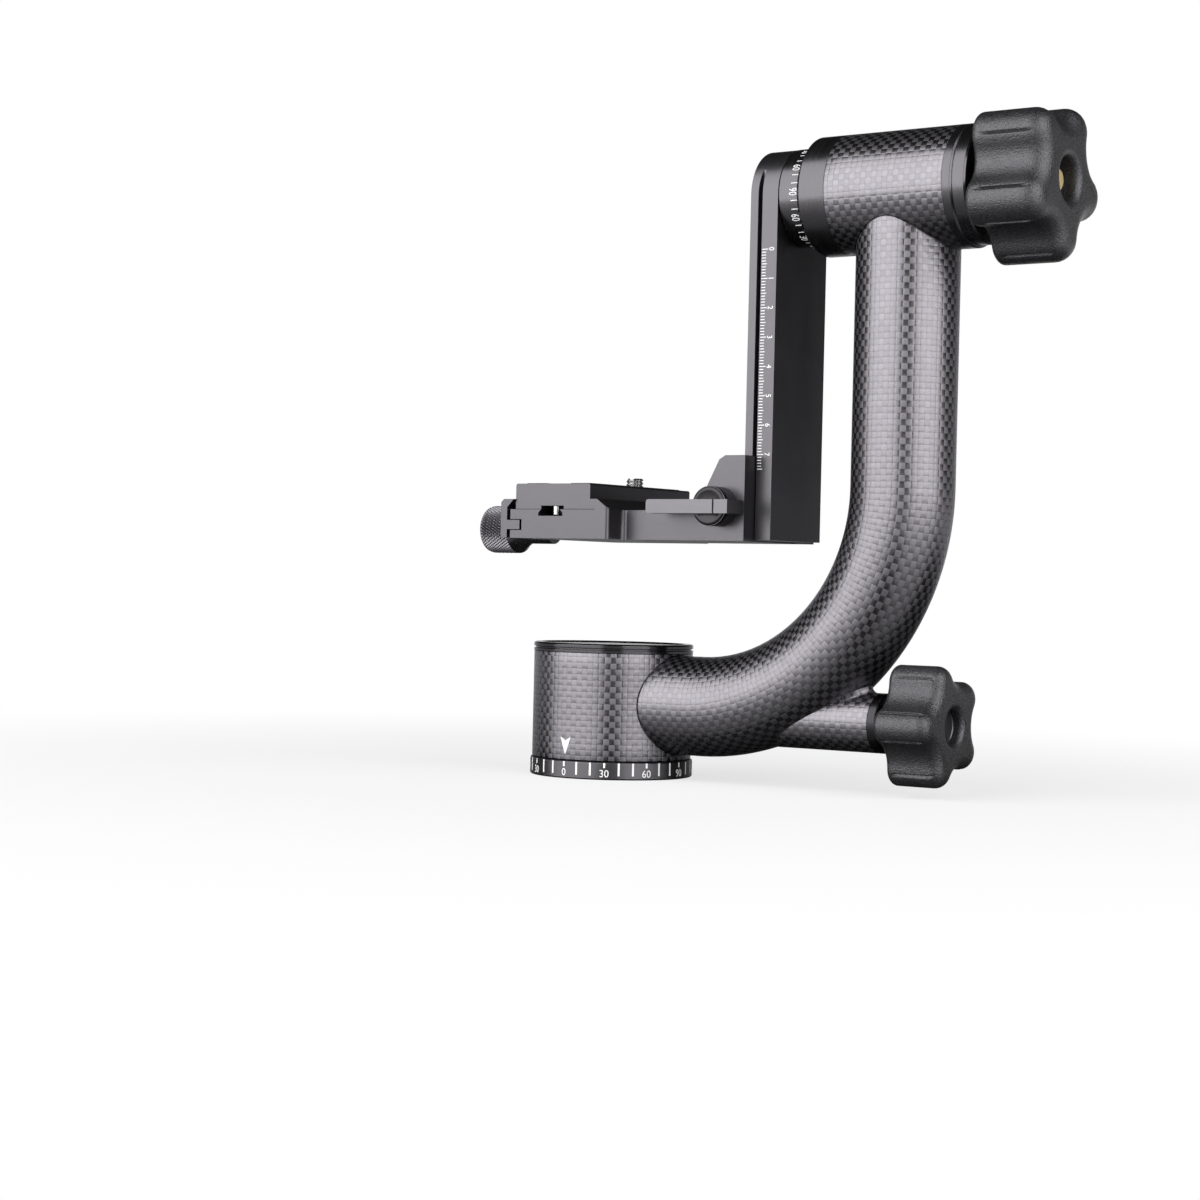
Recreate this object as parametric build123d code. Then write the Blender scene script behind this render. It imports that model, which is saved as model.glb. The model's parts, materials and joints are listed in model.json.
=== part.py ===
from build123d import *
import math
import os

# Gimbal tripod head, in millimetres. The origin is on the pan axis, on the base's bottom face.
# +Z is up, +X points to the upright of the arm and the tilt knob, -Y is the side of the index mark.

GAP = 0.3            # between curved faces of parts that move past each other
SLIP = 0.05          # between flat or round faces that slide on each other
CUT = 1.0            # how far a cutting shape runs past the wall that it cuts

# Pan base
RING_R = 29.36
RING_TOP = 6.3
RING_EDGE = 0.4
PAD_R_IN, PAD_R_OUT, PAD_T = 17.6, 26.4, 1.2
SOCKET_R, SOCKET_DEPTH = 4.0, 10.5       # plain wall of the 3/8"-16 tripod socket
INSERT_R, INSERT_TOP = 7.0, 11.5
BASE_SCREW_PCR, BASE_SCREW_COUNT = 12.6, 3
BASE_SCREW_R, BASE_SCREW_HEAD_R = 2.0, 3.7
BASE_SCREW_SINK, BASE_SCREW_HEAD_T, BASE_SCREW_END = 0.3, 2.2, 8.6
BASE_SCREW_TURN = 30.0
HEX_KEY_R, HEX_KEY_DEPTH = 1.3, 1.4
FLANGE_R, FLANGE_TOP = 15.6, 9.3
SHAFT_R, SHAFT_TOP = 9.0, 39.0
STUD_R, STUD_TOP = 6.0, 43.6
NUT_R, NUT_T = 9.4, 4.0
PAN_RACE_IN, PAN_RACE_OUT = 11.5, 14.5   # outside of the inner race, inside of the outer race
PAN_SEAT_R, RACE_H = 17.0, 6.0
PAN_RACE_Z = (9.3, 33.0)                 # bottom of each inner race
RACE_STAGGER = 0.3                       # the outer races sit this much higher
PAN_BALL_R, PAN_BALL_COUNT = 1.55, 14
PAN_BALL_RING = (PAN_RACE_IN + PAN_RACE_OUT) / 2
PAN_BALL_Z = [z + (RACE_H + RACE_STAGGER) / 2 for z in PAN_RACE_Z]
DRUM_R, DRUM_Z = 12.4, (16.0, 32.4)

# Shell that turns on the base
SHELL_R, SHELL_IN_R = 28.74, 26.54
SHELL_Z = (6.6, 44.5)
CORE_BOTTOM = 7.0
CORE_MOUTH_R, CORE_WAIST_R = 16.4, 14.0
RETAINER_R_IN, RETAINER_T = 12.2, 1.8
CAP_R, CAP_TOP = 28.9, 47.8
CAP_GROOVE_Z, CAP_GROOVE_W, CAP_GROOVE_DEPTH = 45.6, 0.6, 0.6
CAP_DISH_R, CAP_DISH_DEPTH = 26.2, 0.5
CAP_SPIGOT_R, CAP_SPIGOT_IN_R, CAP_SPIGOT_T = 16.9, 12.0, 1.6
CAP_EDGE = 0.5

# U-shaped arm
TUBE_R, TUBE_IN_R = 17.6, 15.4
TUBE_Z = 26.4
BEND_R = 77.5
UPRIGHT_X = 116.6
BEND_X = UPRIGHT_X - BEND_R
BEND_Z = TUBE_Z + BEND_R
PLUG_X = (20.5, 39.0)
UPPER_PLUG_Z, UPPER_PLUG_WALL = 168.0, 4.0

# Pan lock branch
LOCK_Z = 24.1
BRANCH_R, BRANCH_IN_R = 10.2, 8.2
BRANCH_X = (50.0, 110.5)
BRANCH_RING_X, BRANCH_PLUG_X, BRANCH_BORE_X = 113.7, 103.0, 66.6
BRANCH_RING_EDGE = 0.5
# Outline of the web in the crotch, from the end of the branch and up from its axis
WEB = ((-8.0, 0), (0, 0), (0, 11.0), (-0.5, 12.6), (-0.7, 14.2), (-0.2, 16.4), (-8.0, 12.0))
WEB_HALF = 4.0
ROD_R, ROD_BORE_R = 3.0, 4.2
LOCK_STUD_R = 3.0
PAN_PAD_R, PAN_PAD_X = 3.9, 16.6
PAN_ROD_END = 100.0

# Tilt head
TILT_Z = 203.3
HOUSING_R, HOUSING_IN_R = 20.46, 18.2
HOUSING_X = (94.8, 138.8)
COLLAR_X, COLLAR_CHAMFER = 83.6, 1.6
COLLAR_IN_R, COLLAR_WALL_X = 17.35, 91.6
END_RING_STEP_X, END_RING_X, END_RING_STEP_R = 142.2, 146.8, 19.6
END_RING_EDGE = 0.6
AXLE_R, AXLE_X = 8.0, (79.4, 137.0)
AXLE_FLANGE_R = 12.6
TILT_RACE_IN, TILT_RACE_OUT, TILT_SEAT_R = 10.0, 12.6, 15.0
TILT_RACE_X = (96.0, 129.0)
TILT_RACE_W = 7.0
TILT_BALL_R, TILT_BALL_COUNT = 1.35, 12
TILT_BALL_RING = (TILT_RACE_IN + TILT_RACE_OUT) / 2
BRAKE_R, BRAKE_X = 11.0, (137.35, 139.6)
TILT_STUD_R = 4.0
TILT_PITCH = 1.25                        # travel of the tilt brake in one turn of its knob
INDEX_R, INDEX_END_X, INDEX_EDGE = 17.0, 90.8, 0.4

# Five-lobed knobs: inner end, outer end, tip radius, waist radius, lobe radius, angle of the first lobe
LOBES = 5
TILT_KNOB = dict(x0=149.0, x1=175.0, tip=26.6, waist=19.1, lobe=8.0, turn=206.0, z=TILT_Z)
PAN_KNOB = dict(x0=118.0, x1=138.2, tip=21.0, waist=15.4, lobe=6.0, turn=180.0, z=LOCK_Z)
TILT_KNOB_ROUNDS = (2.2, 6.5)
PAN_KNOB_ROUNDS = (2.4, 4.6)
TILT_HUB_R, TILT_HUB_END, TILT_DISH_R, TILT_DISH_DEPTH = 9.5, 160.0, 7.6, 7.0
PAN_HUB_R, PAN_HUB_END, PAN_DISH_R, PAN_DISH_DEPTH = 7.5, 127.0, 6.0, 7.0
TILT_NECK_R, PAN_NECK_R = 7.5, 6.0
NECK_GAP = 0.4                           # between a knob's neck and what it turns against
DISH_LIP = 1.6
KNOB_SCREW_R, KNOB_SCREW_BITE, KNOB_SCREW_HEAD_R, KNOB_SCREW_HEAD_T = 2.0, 3.0, 3.7, 2.4

# Swing arm
ARM_X = (69.05, 75.2)
ARM_HALF, ARM_BOTTOM = 16.9, 85.2
RAIL_X = 64.4
RAIL_EDGE_X, RAIL_NECK_X, RAIL_NECK_HALF = 67.4, 67.9, 14.3
RAIL_TOP = 212.0
ARM_POCKET_R, ARM_POCKET_DEPTH = 12.8, 0.8
ARM_SLOT = (19.0, 11.6, 3.6)             # along Y, along Z, depth of the screw pocket
ARM_SLOT_ROUND = 4.0
ARM_SCREW_Y, ARM_SCREW_HEAD_R, ARM_SCREW_HEAD_T = 4.5, 3.7, 2.6
ARM_SCREW_R, ARM_SCREW_END = 2.0, 78.6
CROSS = (4.2, 1.0, 1.3)

# Height bracket
BLOCK_HALF = 23.7
BRACKET_BOTTOM, BRACKET_ARM_TOP = 84.7, 95.0
BLOCK_X, BLOCK_TOP = 68.75, 113.9
BLOCK_SLANT = ((49.2, BRACKET_ARM_TOP), (58.4, 112.5), (60.8, BLOCK_TOP))
LIP_X, LIP_HALF, LIP_SLOPE = 67.75, 14.9, 0.35
SLIT_X, SLIT_Y = 52.0, (-20.0, -19.2)     # clamping slit beside the rail channel
BED_X, BED_TOP, BED_HALF = (-23.3, 19.0), 94.9, 33.2
BED_FILLET, BED_ROUND = 2.0, 1.6
PLATE_X = -5.7                           # middle of the dovetail
BED_GROOVE = (5.3, 2.3, 1.2)             # half width, depth, side slope
TONGUE_Z, TONGUE_X = (87.8, 91.1), -19.2
TONGUE_POCKET, TONGUE_PLAY = 5.0, 0.3

# Dovetail, as half widths from its middle
DOVETAIL_HALF, PLATE_HALF = 19.0, 16.2
DOVETAIL_TIP_Z = 95.7
DOVETAIL_TOP_Z = DOVETAIL_TIP_Z + DOVETAIL_HALF - PLATE_HALF
JAW_TIP_Z, JAW_PLAY = 98.6, 0.12
FIXED_JAW_BEVEL = ((14.4, JAW_TIP_Z), (BED_X[1], 95.3))

# Moving jaw and its knob
JAW_T, JAW_BOTTOM, JAW_CHAMFER = 2.7, 84.9, 1.2
JAW_FACE_X = PLATE_X - DOVETAIL_HALF - JAW_PLAY - JAW_T
SCREW_Z = 88.5
PIN_R, PIN_Y, PIN_Z = 2.0, 24.0, sum(TONGUE_Z) / 2
PIN_INSET, PIN_DEPTH, HOLE_RUNOUT = 0.6, 15.0, 3.0
CLAMP_SCREW_R, CLAMP_SCREW_END = 2.5, -8.0
KNURL_R, KNURL_X = 8.8, (-56.4, -43.4)
KNURL_COUNT, KNURL_EDGE, FLUTE_SIDE, FLUTE_LIFT = 36, 1.0, 1.0, 0.35
KNOB_NECK_R, KNOB_TAPER_X = 5.2, -38.6
VIAL_R, VIAL_X, VIAL_WALL = 5.2, (-56.0, -51.0), 0.7
VIAL_FLOOR = 2.0                         # knob metal behind the vial
BUBBLE_R, BUBBLE_INSET, BUBBLE_RISE = 1.15, 1.3, 2.6

# Quick-release plate
PLATE_BOTTOM, PLATE_TOP, PLATE_LENGTH = 95.0, 104.1, 64.0
PLATE_EDGE = 0.5
PLATE_GROOVE_HALF, PLATE_GROOVE_DEPTH = 4.9, 1.2
PLATE_NOTCH = 4.0
SCREW_SLOT_HALF, SCREW_SLOT_REACH = 3.5, 20.0
HEAD_SLOT_HALF, HEAD_SLOT_TOP = 6.6, 101.4
PAD_WIDTH, PAD_MARGIN, PAD_END_MARGIN = 9.2, 2.0, 3.0
PAD_PROUD, PAD_SUNK, PAD_ROUND = 0.3, 0.6, 1.5
CAMERA_SCREW_Y, CAMERA_SCREW_R, CAMERA_SCREW_Z = 19.5, 3.175, (104.5, 108.2)
CAMERA_SHANK_R, CAMERA_TIP_CHAMFER = 2.6, 0.4
CAMERA_HEAD_R, CAMERA_HEAD_Z = 5.9, (98.8, 100.8)
COIN_SLOT_HALF, COIN_SLOT_DEPTH = 0.6, 1.2
WASHER_R_IN, WASHER_R, WASHER_T = 3.3, 6.2, 0.5
SLIDER_R_IN, SLIDER_R, SLIDER_Z = 4.6, 6.5, (95.3, 96.3)
STOP_R, STOP_Y, STOP_Z = 1.5, 29.0, (93.2, 98.2)
STOP_KEY_R, STOP_KEY_DEPTH = 0.8, 1.0

# Lock lever of the height bracket
LEVER_X, LEVER_Z = 59.0, 96.3
LEVER_BOSS_R, LEVER_BOSS_Y = 6.8, -30.6
LEVER_BAR = (35.0, 68.0, -33.4, -28.4, 93.7, 98.5)
LEVER_HEEL_X = 62.9
LEVER_GROOVE = (62.0, 62.8, 0.5)
LEVER_STUD_R, LEVER_STUD_Y = 2.5, (-26.6, -4.0)
LEVER_BAR_ROUND = 1.0


def cyl_z(r, z0, z1, x=0.0, y=0.0):
    return Pos(x, y, (z0 + z1) / 2) * Cylinder(r, z1 - z0)


def cyl_x(r, x0, x1, y=0.0, z=0.0):
    return Pos((x0 + x1) / 2, y, z) * Rot(0, 90, 0) * Cylinder(r, x1 - x0)


def cyl_y(r, y0, y1, x=0.0, z=0.0):
    return Pos(x, (y0 + y1) / 2, z) * Rot(90, 0, 0) * Cylinder(r, y1 - y0)


def block(x0, x1, y0, y1, z0, z1):
    return Pos((x0 + x1) / 2, (y0 + y1) / 2, (z0 + z1) / 2) * Box(x1 - x0, y1 - y0, z1 - z0)


def turned_z(points):
    """A solid turned about the pan axis from (radius, height) points."""
    face = make_face(Polyline([(r, 0, z) for r, z in points], close=True))
    return revolve(face, Axis.Z)


def turned_x(points, z):
    """A solid turned about a line along X at height z from (x, radius) points."""
    face = make_face(Polyline([(x, 0, r) for x, r in points], close=True))
    return Pos(0, 0, z) * revolve(face, Axis.X)


def plate_y(points, half):
    """A prism along Y, from -half to +half, with an outline of (x, z) points."""
    face = make_face(Polyline([(x, -half, z) for x, z in points], close=True))
    return extrude(face, 2 * half, dir=(0, 1, 0))


def plate_z(points, z0, z1):
    """A prism along Z with an outline of (x, y) points."""
    face = make_face(Polyline([(x, y, z0) for x, y in points], close=True))
    return extrude(face, z1 - z0, dir=(0, 0, 1))


def around_z(part, count, turn=0.0):
    return [Rot(0, 0, turn + 360 / count * i) * part for i in range(count)]


def around_x(part, count, z):
    return [Pos(0, 0, z) * Rot(360 / count * i, 0, 0) * part for i in range(count)]


def group(solids):
    return Compound(children=[s for part in solids for s in part.solids()])


# ---- Pan base ----

def tripod_insert():
    return cyl_z(INSERT_R, 0, INSERT_TOP) - cyl_z(SOCKET_R, -CUT, SOCKET_DEPTH)


def base_screw_blank():
    """Countersunk head and shank, without the key's socket."""
    shoulder = BASE_SCREW_SINK + BASE_SCREW_HEAD_T
    return turned_z([(0, BASE_SCREW_SINK), (BASE_SCREW_HEAD_R, BASE_SCREW_SINK), (BASE_SCREW_R, shoulder),
                     (BASE_SCREW_R, BASE_SCREW_END), (0, BASE_SCREW_END)])


def base_screws():
    key = Pos(0, 0, BASE_SCREW_SINK) * extrude(RegularPolygon(HEX_KEY_R, 6), HEX_KEY_DEPTH)
    screw = Pos(BASE_SCREW_PCR, 0, 0) * (base_screw_blank() - key)
    return around_z(screw, BASE_SCREW_COUNT, BASE_SCREW_TURN)


def base_screw_holes():
    hole = base_screw_blank() + cyl_z(BASE_SCREW_HEAD_R, 0, BASE_SCREW_SINK)
    return around_z(Pos(BASE_SCREW_PCR, 0, 0) * hole, BASE_SCREW_COUNT, BASE_SCREW_TURN)


def base_ring():
    body = turned_z([(INSERT_R, 0), (RING_R - RING_EDGE, 0), (RING_R, RING_EDGE),
                     (RING_R, RING_TOP - RING_EDGE), (RING_R - RING_EDGE, RING_TOP),
                     (INSERT_R, RING_TOP)])
    body -= cyl_z(PAD_R_OUT, 0, PAD_T) - cyl_z(PAD_R_IN, -CUT, PAD_T + CUT)
    for hole in base_screw_holes():
        body -= hole
    return body


def base_pad():
    return cyl_z(PAD_R_OUT, 0, PAD_T) - cyl_z(PAD_R_IN, -CUT, PAD_T + CUT)


def spindle():
    body = turned_z([(0, RING_TOP), (FLANGE_R, RING_TOP), (FLANGE_R, FLANGE_TOP), (SHAFT_R, FLANGE_TOP),
                     (SHAFT_R, SHAFT_TOP), (STUD_R, SHAFT_TOP), (STUD_R, STUD_TOP), (0, STUD_TOP)])
    body -= cyl_z(INSERT_R, 0, INSERT_TOP)
    for hole in base_screw_holes():
        body -= hole
    return body


def race(r_in, r_out, z0, groove_r, groove_z, groove_section):
    ring = cyl_z(r_out, z0, z0 + RACE_H) - cyl_z(r_in, z0 - CUT, z0 + RACE_H + CUT)
    return ring - Pos(0, 0, groove_z) * Torus(groove_r, groove_section)


def pan_inner_races():
    return [race(SHAFT_R, PAN_RACE_IN, z, PAN_BALL_RING, zb, PAN_BALL_R + GAP)
            for z, zb in zip(PAN_RACE_Z, PAN_BALL_Z)]


def pan_outer_races():
    return [race(PAN_RACE_OUT, PAN_SEAT_R, z + RACE_STAGGER, PAN_BALL_RING, zb, PAN_BALL_R + SLIP)
            for z, zb in zip(PAN_RACE_Z, PAN_BALL_Z)]


def pan_balls():
    return [ball for zb in PAN_BALL_Z
            for ball in around_z(Pos(PAN_BALL_RING, 0, zb) * Sphere(PAN_BALL_R), PAN_BALL_COUNT)]


def brake_drum():
    return cyl_z(DRUM_R, *DRUM_Z) - cyl_z(SHAFT_R, 0, STUD_TOP)


def spindle_nut():
    hexagon = Pos(0, 0, SHAFT_TOP) * extrude(RegularPolygon(NUT_R, 6), NUT_T)
    return hexagon - cyl_z(STUD_R, 0, STUD_TOP + CUT)


# ---- Turning shell ----

def base_shell():
    body = cyl_z(SHELL_R, *SHELL_Z) - cyl_z(SHELL_IN_R, 0, CAP_TOP)
    return body - cyl_x(TUBE_IN_R, 0, SHELL_R + CUT, 0, TUBE_Z)


def base_core():
    low, high = (z + RACE_STAGGER for z in PAN_RACE_Z)
    body = turned_z([(CORE_MOUTH_R, CORE_BOTTOM), (SHELL_IN_R, CORE_BOTTOM), (SHELL_IN_R, SHELL_Z[1]),
                     (PAN_SEAT_R, SHELL_Z[1]), (PAN_SEAT_R, high), (CORE_WAIST_R, high),
                     (CORE_WAIST_R, low + RACE_H), (PAN_SEAT_R, low + RACE_H), (PAN_SEAT_R, low),
                     (CORE_MOUTH_R, low)])
    body -= cyl_x(TUBE_IN_R, PLUG_X[0], SHELL_R + CUT, 0, TUBE_Z)
    return body - cyl_x(ROD_BORE_R, 0, PLUG_X[1], 0, LOCK_Z)


def bearing_retainer():
    z = PAN_RACE_Z[1] + RACE_STAGGER + RACE_H
    return cyl_z(PAN_SEAT_R, z, z + RETAINER_T) - cyl_z(RETAINER_R_IN, 0, CAP_TOP)


def base_cap():
    edge = CAP_EDGE
    groove = CAP_GROOVE_Z + CAP_GROOVE_W
    body = turned_z([(0, SHELL_Z[1]), (CAP_R, SHELL_Z[1]), (CAP_R, CAP_GROOVE_Z),
                     (CAP_R - CAP_GROOVE_DEPTH, CAP_GROOVE_Z), (CAP_R - CAP_GROOVE_DEPTH, groove),
                     (CAP_R, groove), (CAP_R, CAP_TOP - edge), (CAP_R - edge, CAP_TOP),
                     (CAP_DISH_R, CAP_TOP), (CAP_DISH_R - edge, CAP_TOP - CAP_DISH_DEPTH),
                     (0, CAP_TOP - CAP_DISH_DEPTH)])
    spigot = cyl_z(CAP_SPIGOT_R, SHELL_Z[1] - CAP_SPIGOT_T, SHELL_Z[1])
    spigot -= cyl_z(CAP_SPIGOT_IN_R, 0, CAP_TOP)
    return body + spigot


# ---- Arm ----

def bent_bar(r, x0, z1):
    """A round bar along X from x0, round the bend and up to z1."""
    straight = cyl_x(r, x0, BEND_X, 0, TUBE_Z)
    section = Plane(origin=(BEND_X, 0, TUBE_Z), x_dir=(0, 1, 0), z_dir=(1, 0, 0)) * Circle(r)
    bend = revolve(section, Axis((BEND_X, 0, BEND_Z), (0, -1, 0)), 90)
    return straight + bend + cyl_z(r, BEND_Z, z1, UPRIGHT_X)


def arm_tube():
    tube = bent_bar(TUBE_R, PLUG_X[0], TILT_Z) - bent_bar(TUBE_IN_R, PLUG_X[0] - CUT, TILT_Z + CUT)
    tube -= cyl_z(SHELL_R, 0, CAP_TOP)
    tube -= cyl_x(HOUSING_R, HOUSING_X[0] - CUT, HOUSING_X[1] + CUT, 0, TILT_Z)
    return tube - cyl_x(BRANCH_IN_R, BRANCH_BORE_X, BRANCH_X[1], 0, LOCK_Z)


def lower_plug():
    plug = cyl_x(TUBE_IN_R, PLUG_X[0], PLUG_X[1], 0, TUBE_Z)
    plug -= cyl_x(ROD_BORE_R, 0, PLUG_X[1] + CUT, 0, LOCK_Z)
    return plug - cyl_z(PAN_SEAT_R + CUT, 0, CAP_TOP)


def upper_plug():
    plug = cyl_z(TUBE_IN_R, UPPER_PLUG_Z, TILT_Z, UPRIGHT_X)
    hollow_top = TILT_Z - HOUSING_IN_R - UPPER_PLUG_WALL
    plug -= cyl_z(TUBE_IN_R - UPPER_PLUG_WALL, UPPER_PLUG_Z - CUT, hollow_top, UPRIGHT_X)
    return plug - cyl_x(HOUSING_IN_R, *HOUSING_X, 0, TILT_Z)


def branch_tube():
    x0, x1 = BRANCH_X
    web = plate_y([(x1 + x, LOCK_Z + z) for x, z in WEB], WEB_HALF)
    tube = cyl_x(BRANCH_R, x0, x1, 0, LOCK_Z) + web
    tube -= cyl_x(BRANCH_IN_R, x0 - CUT, x1 + CUT, 0, LOCK_Z)
    return tube - bent_bar(TUBE_R, PLUG_X[0], TILT_Z)


def branch_ring():
    edge = BRANCH_RING_EDGE
    ring = turned_x([(BRANCH_X[1], 0), (BRANCH_X[1], BRANCH_R), (BRANCH_RING_X - edge, BRANCH_R),
                     (BRANCH_RING_X, BRANCH_R - edge), (BRANCH_RING_X, 0)], LOCK_Z)
    plug = cyl_x(BRANCH_IN_R, BRANCH_PLUG_X, BRANCH_X[1], 0, LOCK_Z)
    plug -= bent_bar(TUBE_R, PLUG_X[0], TILT_Z)
    bore = cyl_x(LOCK_STUD_R + SLIP, BRANCH_BORE_X, BRANCH_RING_X + CUT, 0, LOCK_Z)
    return ring + plug - bore


def tilt_housing():
    x0, x1 = HOUSING_X
    body = cyl_x(HOUSING_R, x0, x1, 0, TILT_Z) - cyl_x(HOUSING_IN_R, x0 - CUT, x1 + CUT, 0, TILT_Z)
    return body - cyl_z(TUBE_IN_R, UPPER_PLUG_Z, TILT_Z, UPRIGHT_X)


def tilt_sleeve():
    x0, x1 = HOUSING_X
    left, right = TILT_RACE_X[0] + RACE_STAGGER, TILT_RACE_X[1] + RACE_STAGGER
    return turned_x([(x0, TILT_SEAT_R), (x0, HOUSING_IN_R), (x1, HOUSING_IN_R), (x1, TILT_SEAT_R),
                     (right, TILT_SEAT_R), (right, TILT_RACE_OUT), (left + TILT_RACE_W, TILT_RACE_OUT),
                     (left + TILT_RACE_W, TILT_SEAT_R)], TILT_Z)


def tilt_collar():
    x0, x1 = COLLAR_X, HOUSING_X[0]
    c = COLLAR_CHAMFER
    return turned_x([(x0, COLLAR_IN_R), (x0, HOUSING_R - c), (x0 + c, HOUSING_R), (x1, HOUSING_R),
                     (x1, AXLE_R + GAP), (COLLAR_WALL_X, AXLE_R + GAP), (COLLAR_WALL_X, COLLAR_IN_R)],
                    TILT_Z)


def tilt_end_ring():
    x0, step, x1 = HOUSING_X[1], END_RING_STEP_X, END_RING_X
    edge = END_RING_EDGE
    bore, pocket = TILT_STUD_R + SLIP, BRAKE_R + GAP
    pocket_end = BRAKE_X[1] + TILT_PITCH + GAP
    return turned_x([(x0, pocket), (x0, HOUSING_R), (step - edge, HOUSING_R), (step, HOUSING_R - edge),
                     (step, END_RING_STEP_R), (x1 - edge, END_RING_STEP_R), (x1, END_RING_STEP_R - edge),
                     (x1, bore), (pocket_end, bore), (pocket_end, pocket)], TILT_Z)


def tilt_races(r_in, r_out, shift, track_r):
    races = []
    for x in TILT_RACE_X:
        ring = cyl_x(r_out, x + shift, x + shift + TILT_RACE_W, 0, TILT_Z)
        ring -= cyl_x(r_in, x - CUT, x + TILT_RACE_W + CUT, 0, TILT_Z)
        middle = x + (TILT_RACE_W + RACE_STAGGER) / 2
        track = Pos(middle, 0, TILT_Z) * Rot(0, 90, 0) * Torus(TILT_BALL_RING, track_r)
        races.append(ring - track)
    return races


def tilt_balls():
    balls = []
    for x in TILT_RACE_X:
        middle = x + (TILT_RACE_W + RACE_STAGGER) / 2
        ball = Pos(middle, 0, TILT_BALL_RING) * Sphere(TILT_BALL_R)
        balls += around_x(ball, TILT_BALL_COUNT, TILT_Z)
    return balls


# ---- Knobs with five lobes ----

def lobed_outline(knob):
    """Closed outline in YZ made of lobe arcs and waist arcs that meet at a tangent."""
    tip, waist, lobe = knob["tip"], knob["waist"], knob["lobe"]
    half = math.pi / LOBES
    a = tip - lobe
    c = math.cos(half)
    hollow = (a * a + waist * waist - 2 * a * c * waist - lobe * lobe) / (2 * (lobe + a * c - waist))
    b = waist + hollow

    def polar(r, angle):
        return (r * math.cos(angle), r * math.sin(angle))

    def meeting(lobe_angle, hollow_angle):
        ly, lz = polar(a, lobe_angle)
        hy, hz = polar(b, hollow_angle)
        share = lobe / (lobe + hollow)
        return (ly + (hy - ly) * share, lz + (hz - lz) * share)

    arcs = []
    for i in range(LOBES):
        t = math.radians(knob["turn"]) + 2 * half * i
        start, end = meeting(t, t - half), meeting(t, t + half)
        following = meeting(t + 2 * half, t + half)
        arcs.append(ThreePointArc(start, polar(tip, t), end))
        arcs.append(ThreePointArc(end, polar(waist, t + half), following))
    plane = Plane(origin=(knob["x0"], 0, knob["z"]), x_dir=(0, 1, 0), z_dir=(1, 0, 0))
    return plane * make_face(arcs)


def lobed_grip(knob, rounds, hub_r, hub_end, dish_r, dish_depth):
    x0, x1, z = knob["x0"], knob["x1"], knob["z"]
    body = extrude(lobed_outline(knob), x1 - x0, dir=(1, 0, 0))
    body = fillet(body.edges().filter_by_position(Axis.X, x1 - SLIP, x1 + SLIP), rounds[1])
    body = fillet(body.edges().filter_by_position(Axis.X, x0 - SLIP, x0 + SLIP), rounds[0])
    body -= cyl_x(hub_r, x0 - CUT, hub_end, 0, z)
    body -= cyl_x(dish_r, x1 - dish_depth, x1 + CUT, 0, z)
    body -= cyl_x(KNOB_SCREW_R, x0, x1, 0, z)
    lip = [e for e in body.edges().filter_by(GeomType.CIRCLE)
           if abs(e.center().X - x1) < SLIP and abs(e.radius - dish_r) < SLIP]
    return fillet(lip, DISH_LIP)


def knob_hub(knob, hub_r, hub_end, neck_x, neck_r, stud_r, stud_x):
    """Metal insert with its neck and the stud that carries the thread."""
    z = knob["z"]
    hub = cyl_x(hub_r, knob["x0"], hub_end, 0, z)
    hub -= cyl_x(KNOB_SCREW_R, hub_end - KNOB_SCREW_BITE, hub_end + CUT, 0, z)
    neck = cyl_x(neck_r, neck_x, knob["x0"], 0, z)
    return hub + neck + cyl_x(stud_r, stud_x, neck_x, 0, z)


def knob_screw(knob, hub_end, dish_depth):
    """Cross-head screw at the bottom of the dish."""
    floor = knob["x1"] - dish_depth
    top = floor + KNOB_SCREW_HEAD_T
    z = knob["z"]
    head = cyl_x(KNOB_SCREW_HEAD_R, floor, top, 0, z)
    for w, h in ((CROSS[0], CROSS[1]), (CROSS[1], CROSS[0])):
        head -= block(top - CROSS[2], top + CUT, -w / 2, w / 2, z - h / 2, z + h / 2)
    return head + cyl_x(KNOB_SCREW_R, hub_end - KNOB_SCREW_BITE, floor, 0, z)


# ---- Swing arm ----

def round_topped(x0, x1, half, z0):
    return block(x0, x1, -half, half, z0, TILT_Z) + cyl_x(half, x0, x1, 0, TILT_Z)


def swing_arm():
    x0, x1 = ARM_X
    body = round_topped(x0, x1, ARM_HALF, ARM_BOTTOM)
    top = round_topped(RAIL_X, x0, ARM_HALF, ARM_BOTTOM)
    for side in (-1, 1):
        groove = plate_z([(RAIL_EDGE_X, side * (ARM_HALF + CUT)), (RAIL_EDGE_X, side * ARM_HALF),
                          (RAIL_NECK_X, side * RAIL_NECK_HALF), (x0, side * RAIL_NECK_HALF),
                          (x0, side * (ARM_HALF + CUT))], ARM_BOTTOM - CUT, RAIL_TOP)
        top -= groove
    body += top
    body -= cyl_x(ARM_POCKET_R, RAIL_X, RAIL_X + ARM_POCKET_DEPTH, 0, TILT_Z)
    length, height, depth = ARM_SLOT
    slot = block(RAIL_X, RAIL_X + depth, -length / 2, length / 2, TILT_Z - height / 2, TILT_Z + height / 2)
    slot = fillet(slot.edges().filter_by(Axis.X), ARM_SLOT_ROUND)
    body -= slot
    for y in (-ARM_SCREW_Y, ARM_SCREW_Y):
        body -= cyl_x(ARM_SCREW_R, RAIL_X, x1 + CUT, y, TILT_Z)
    return body


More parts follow.
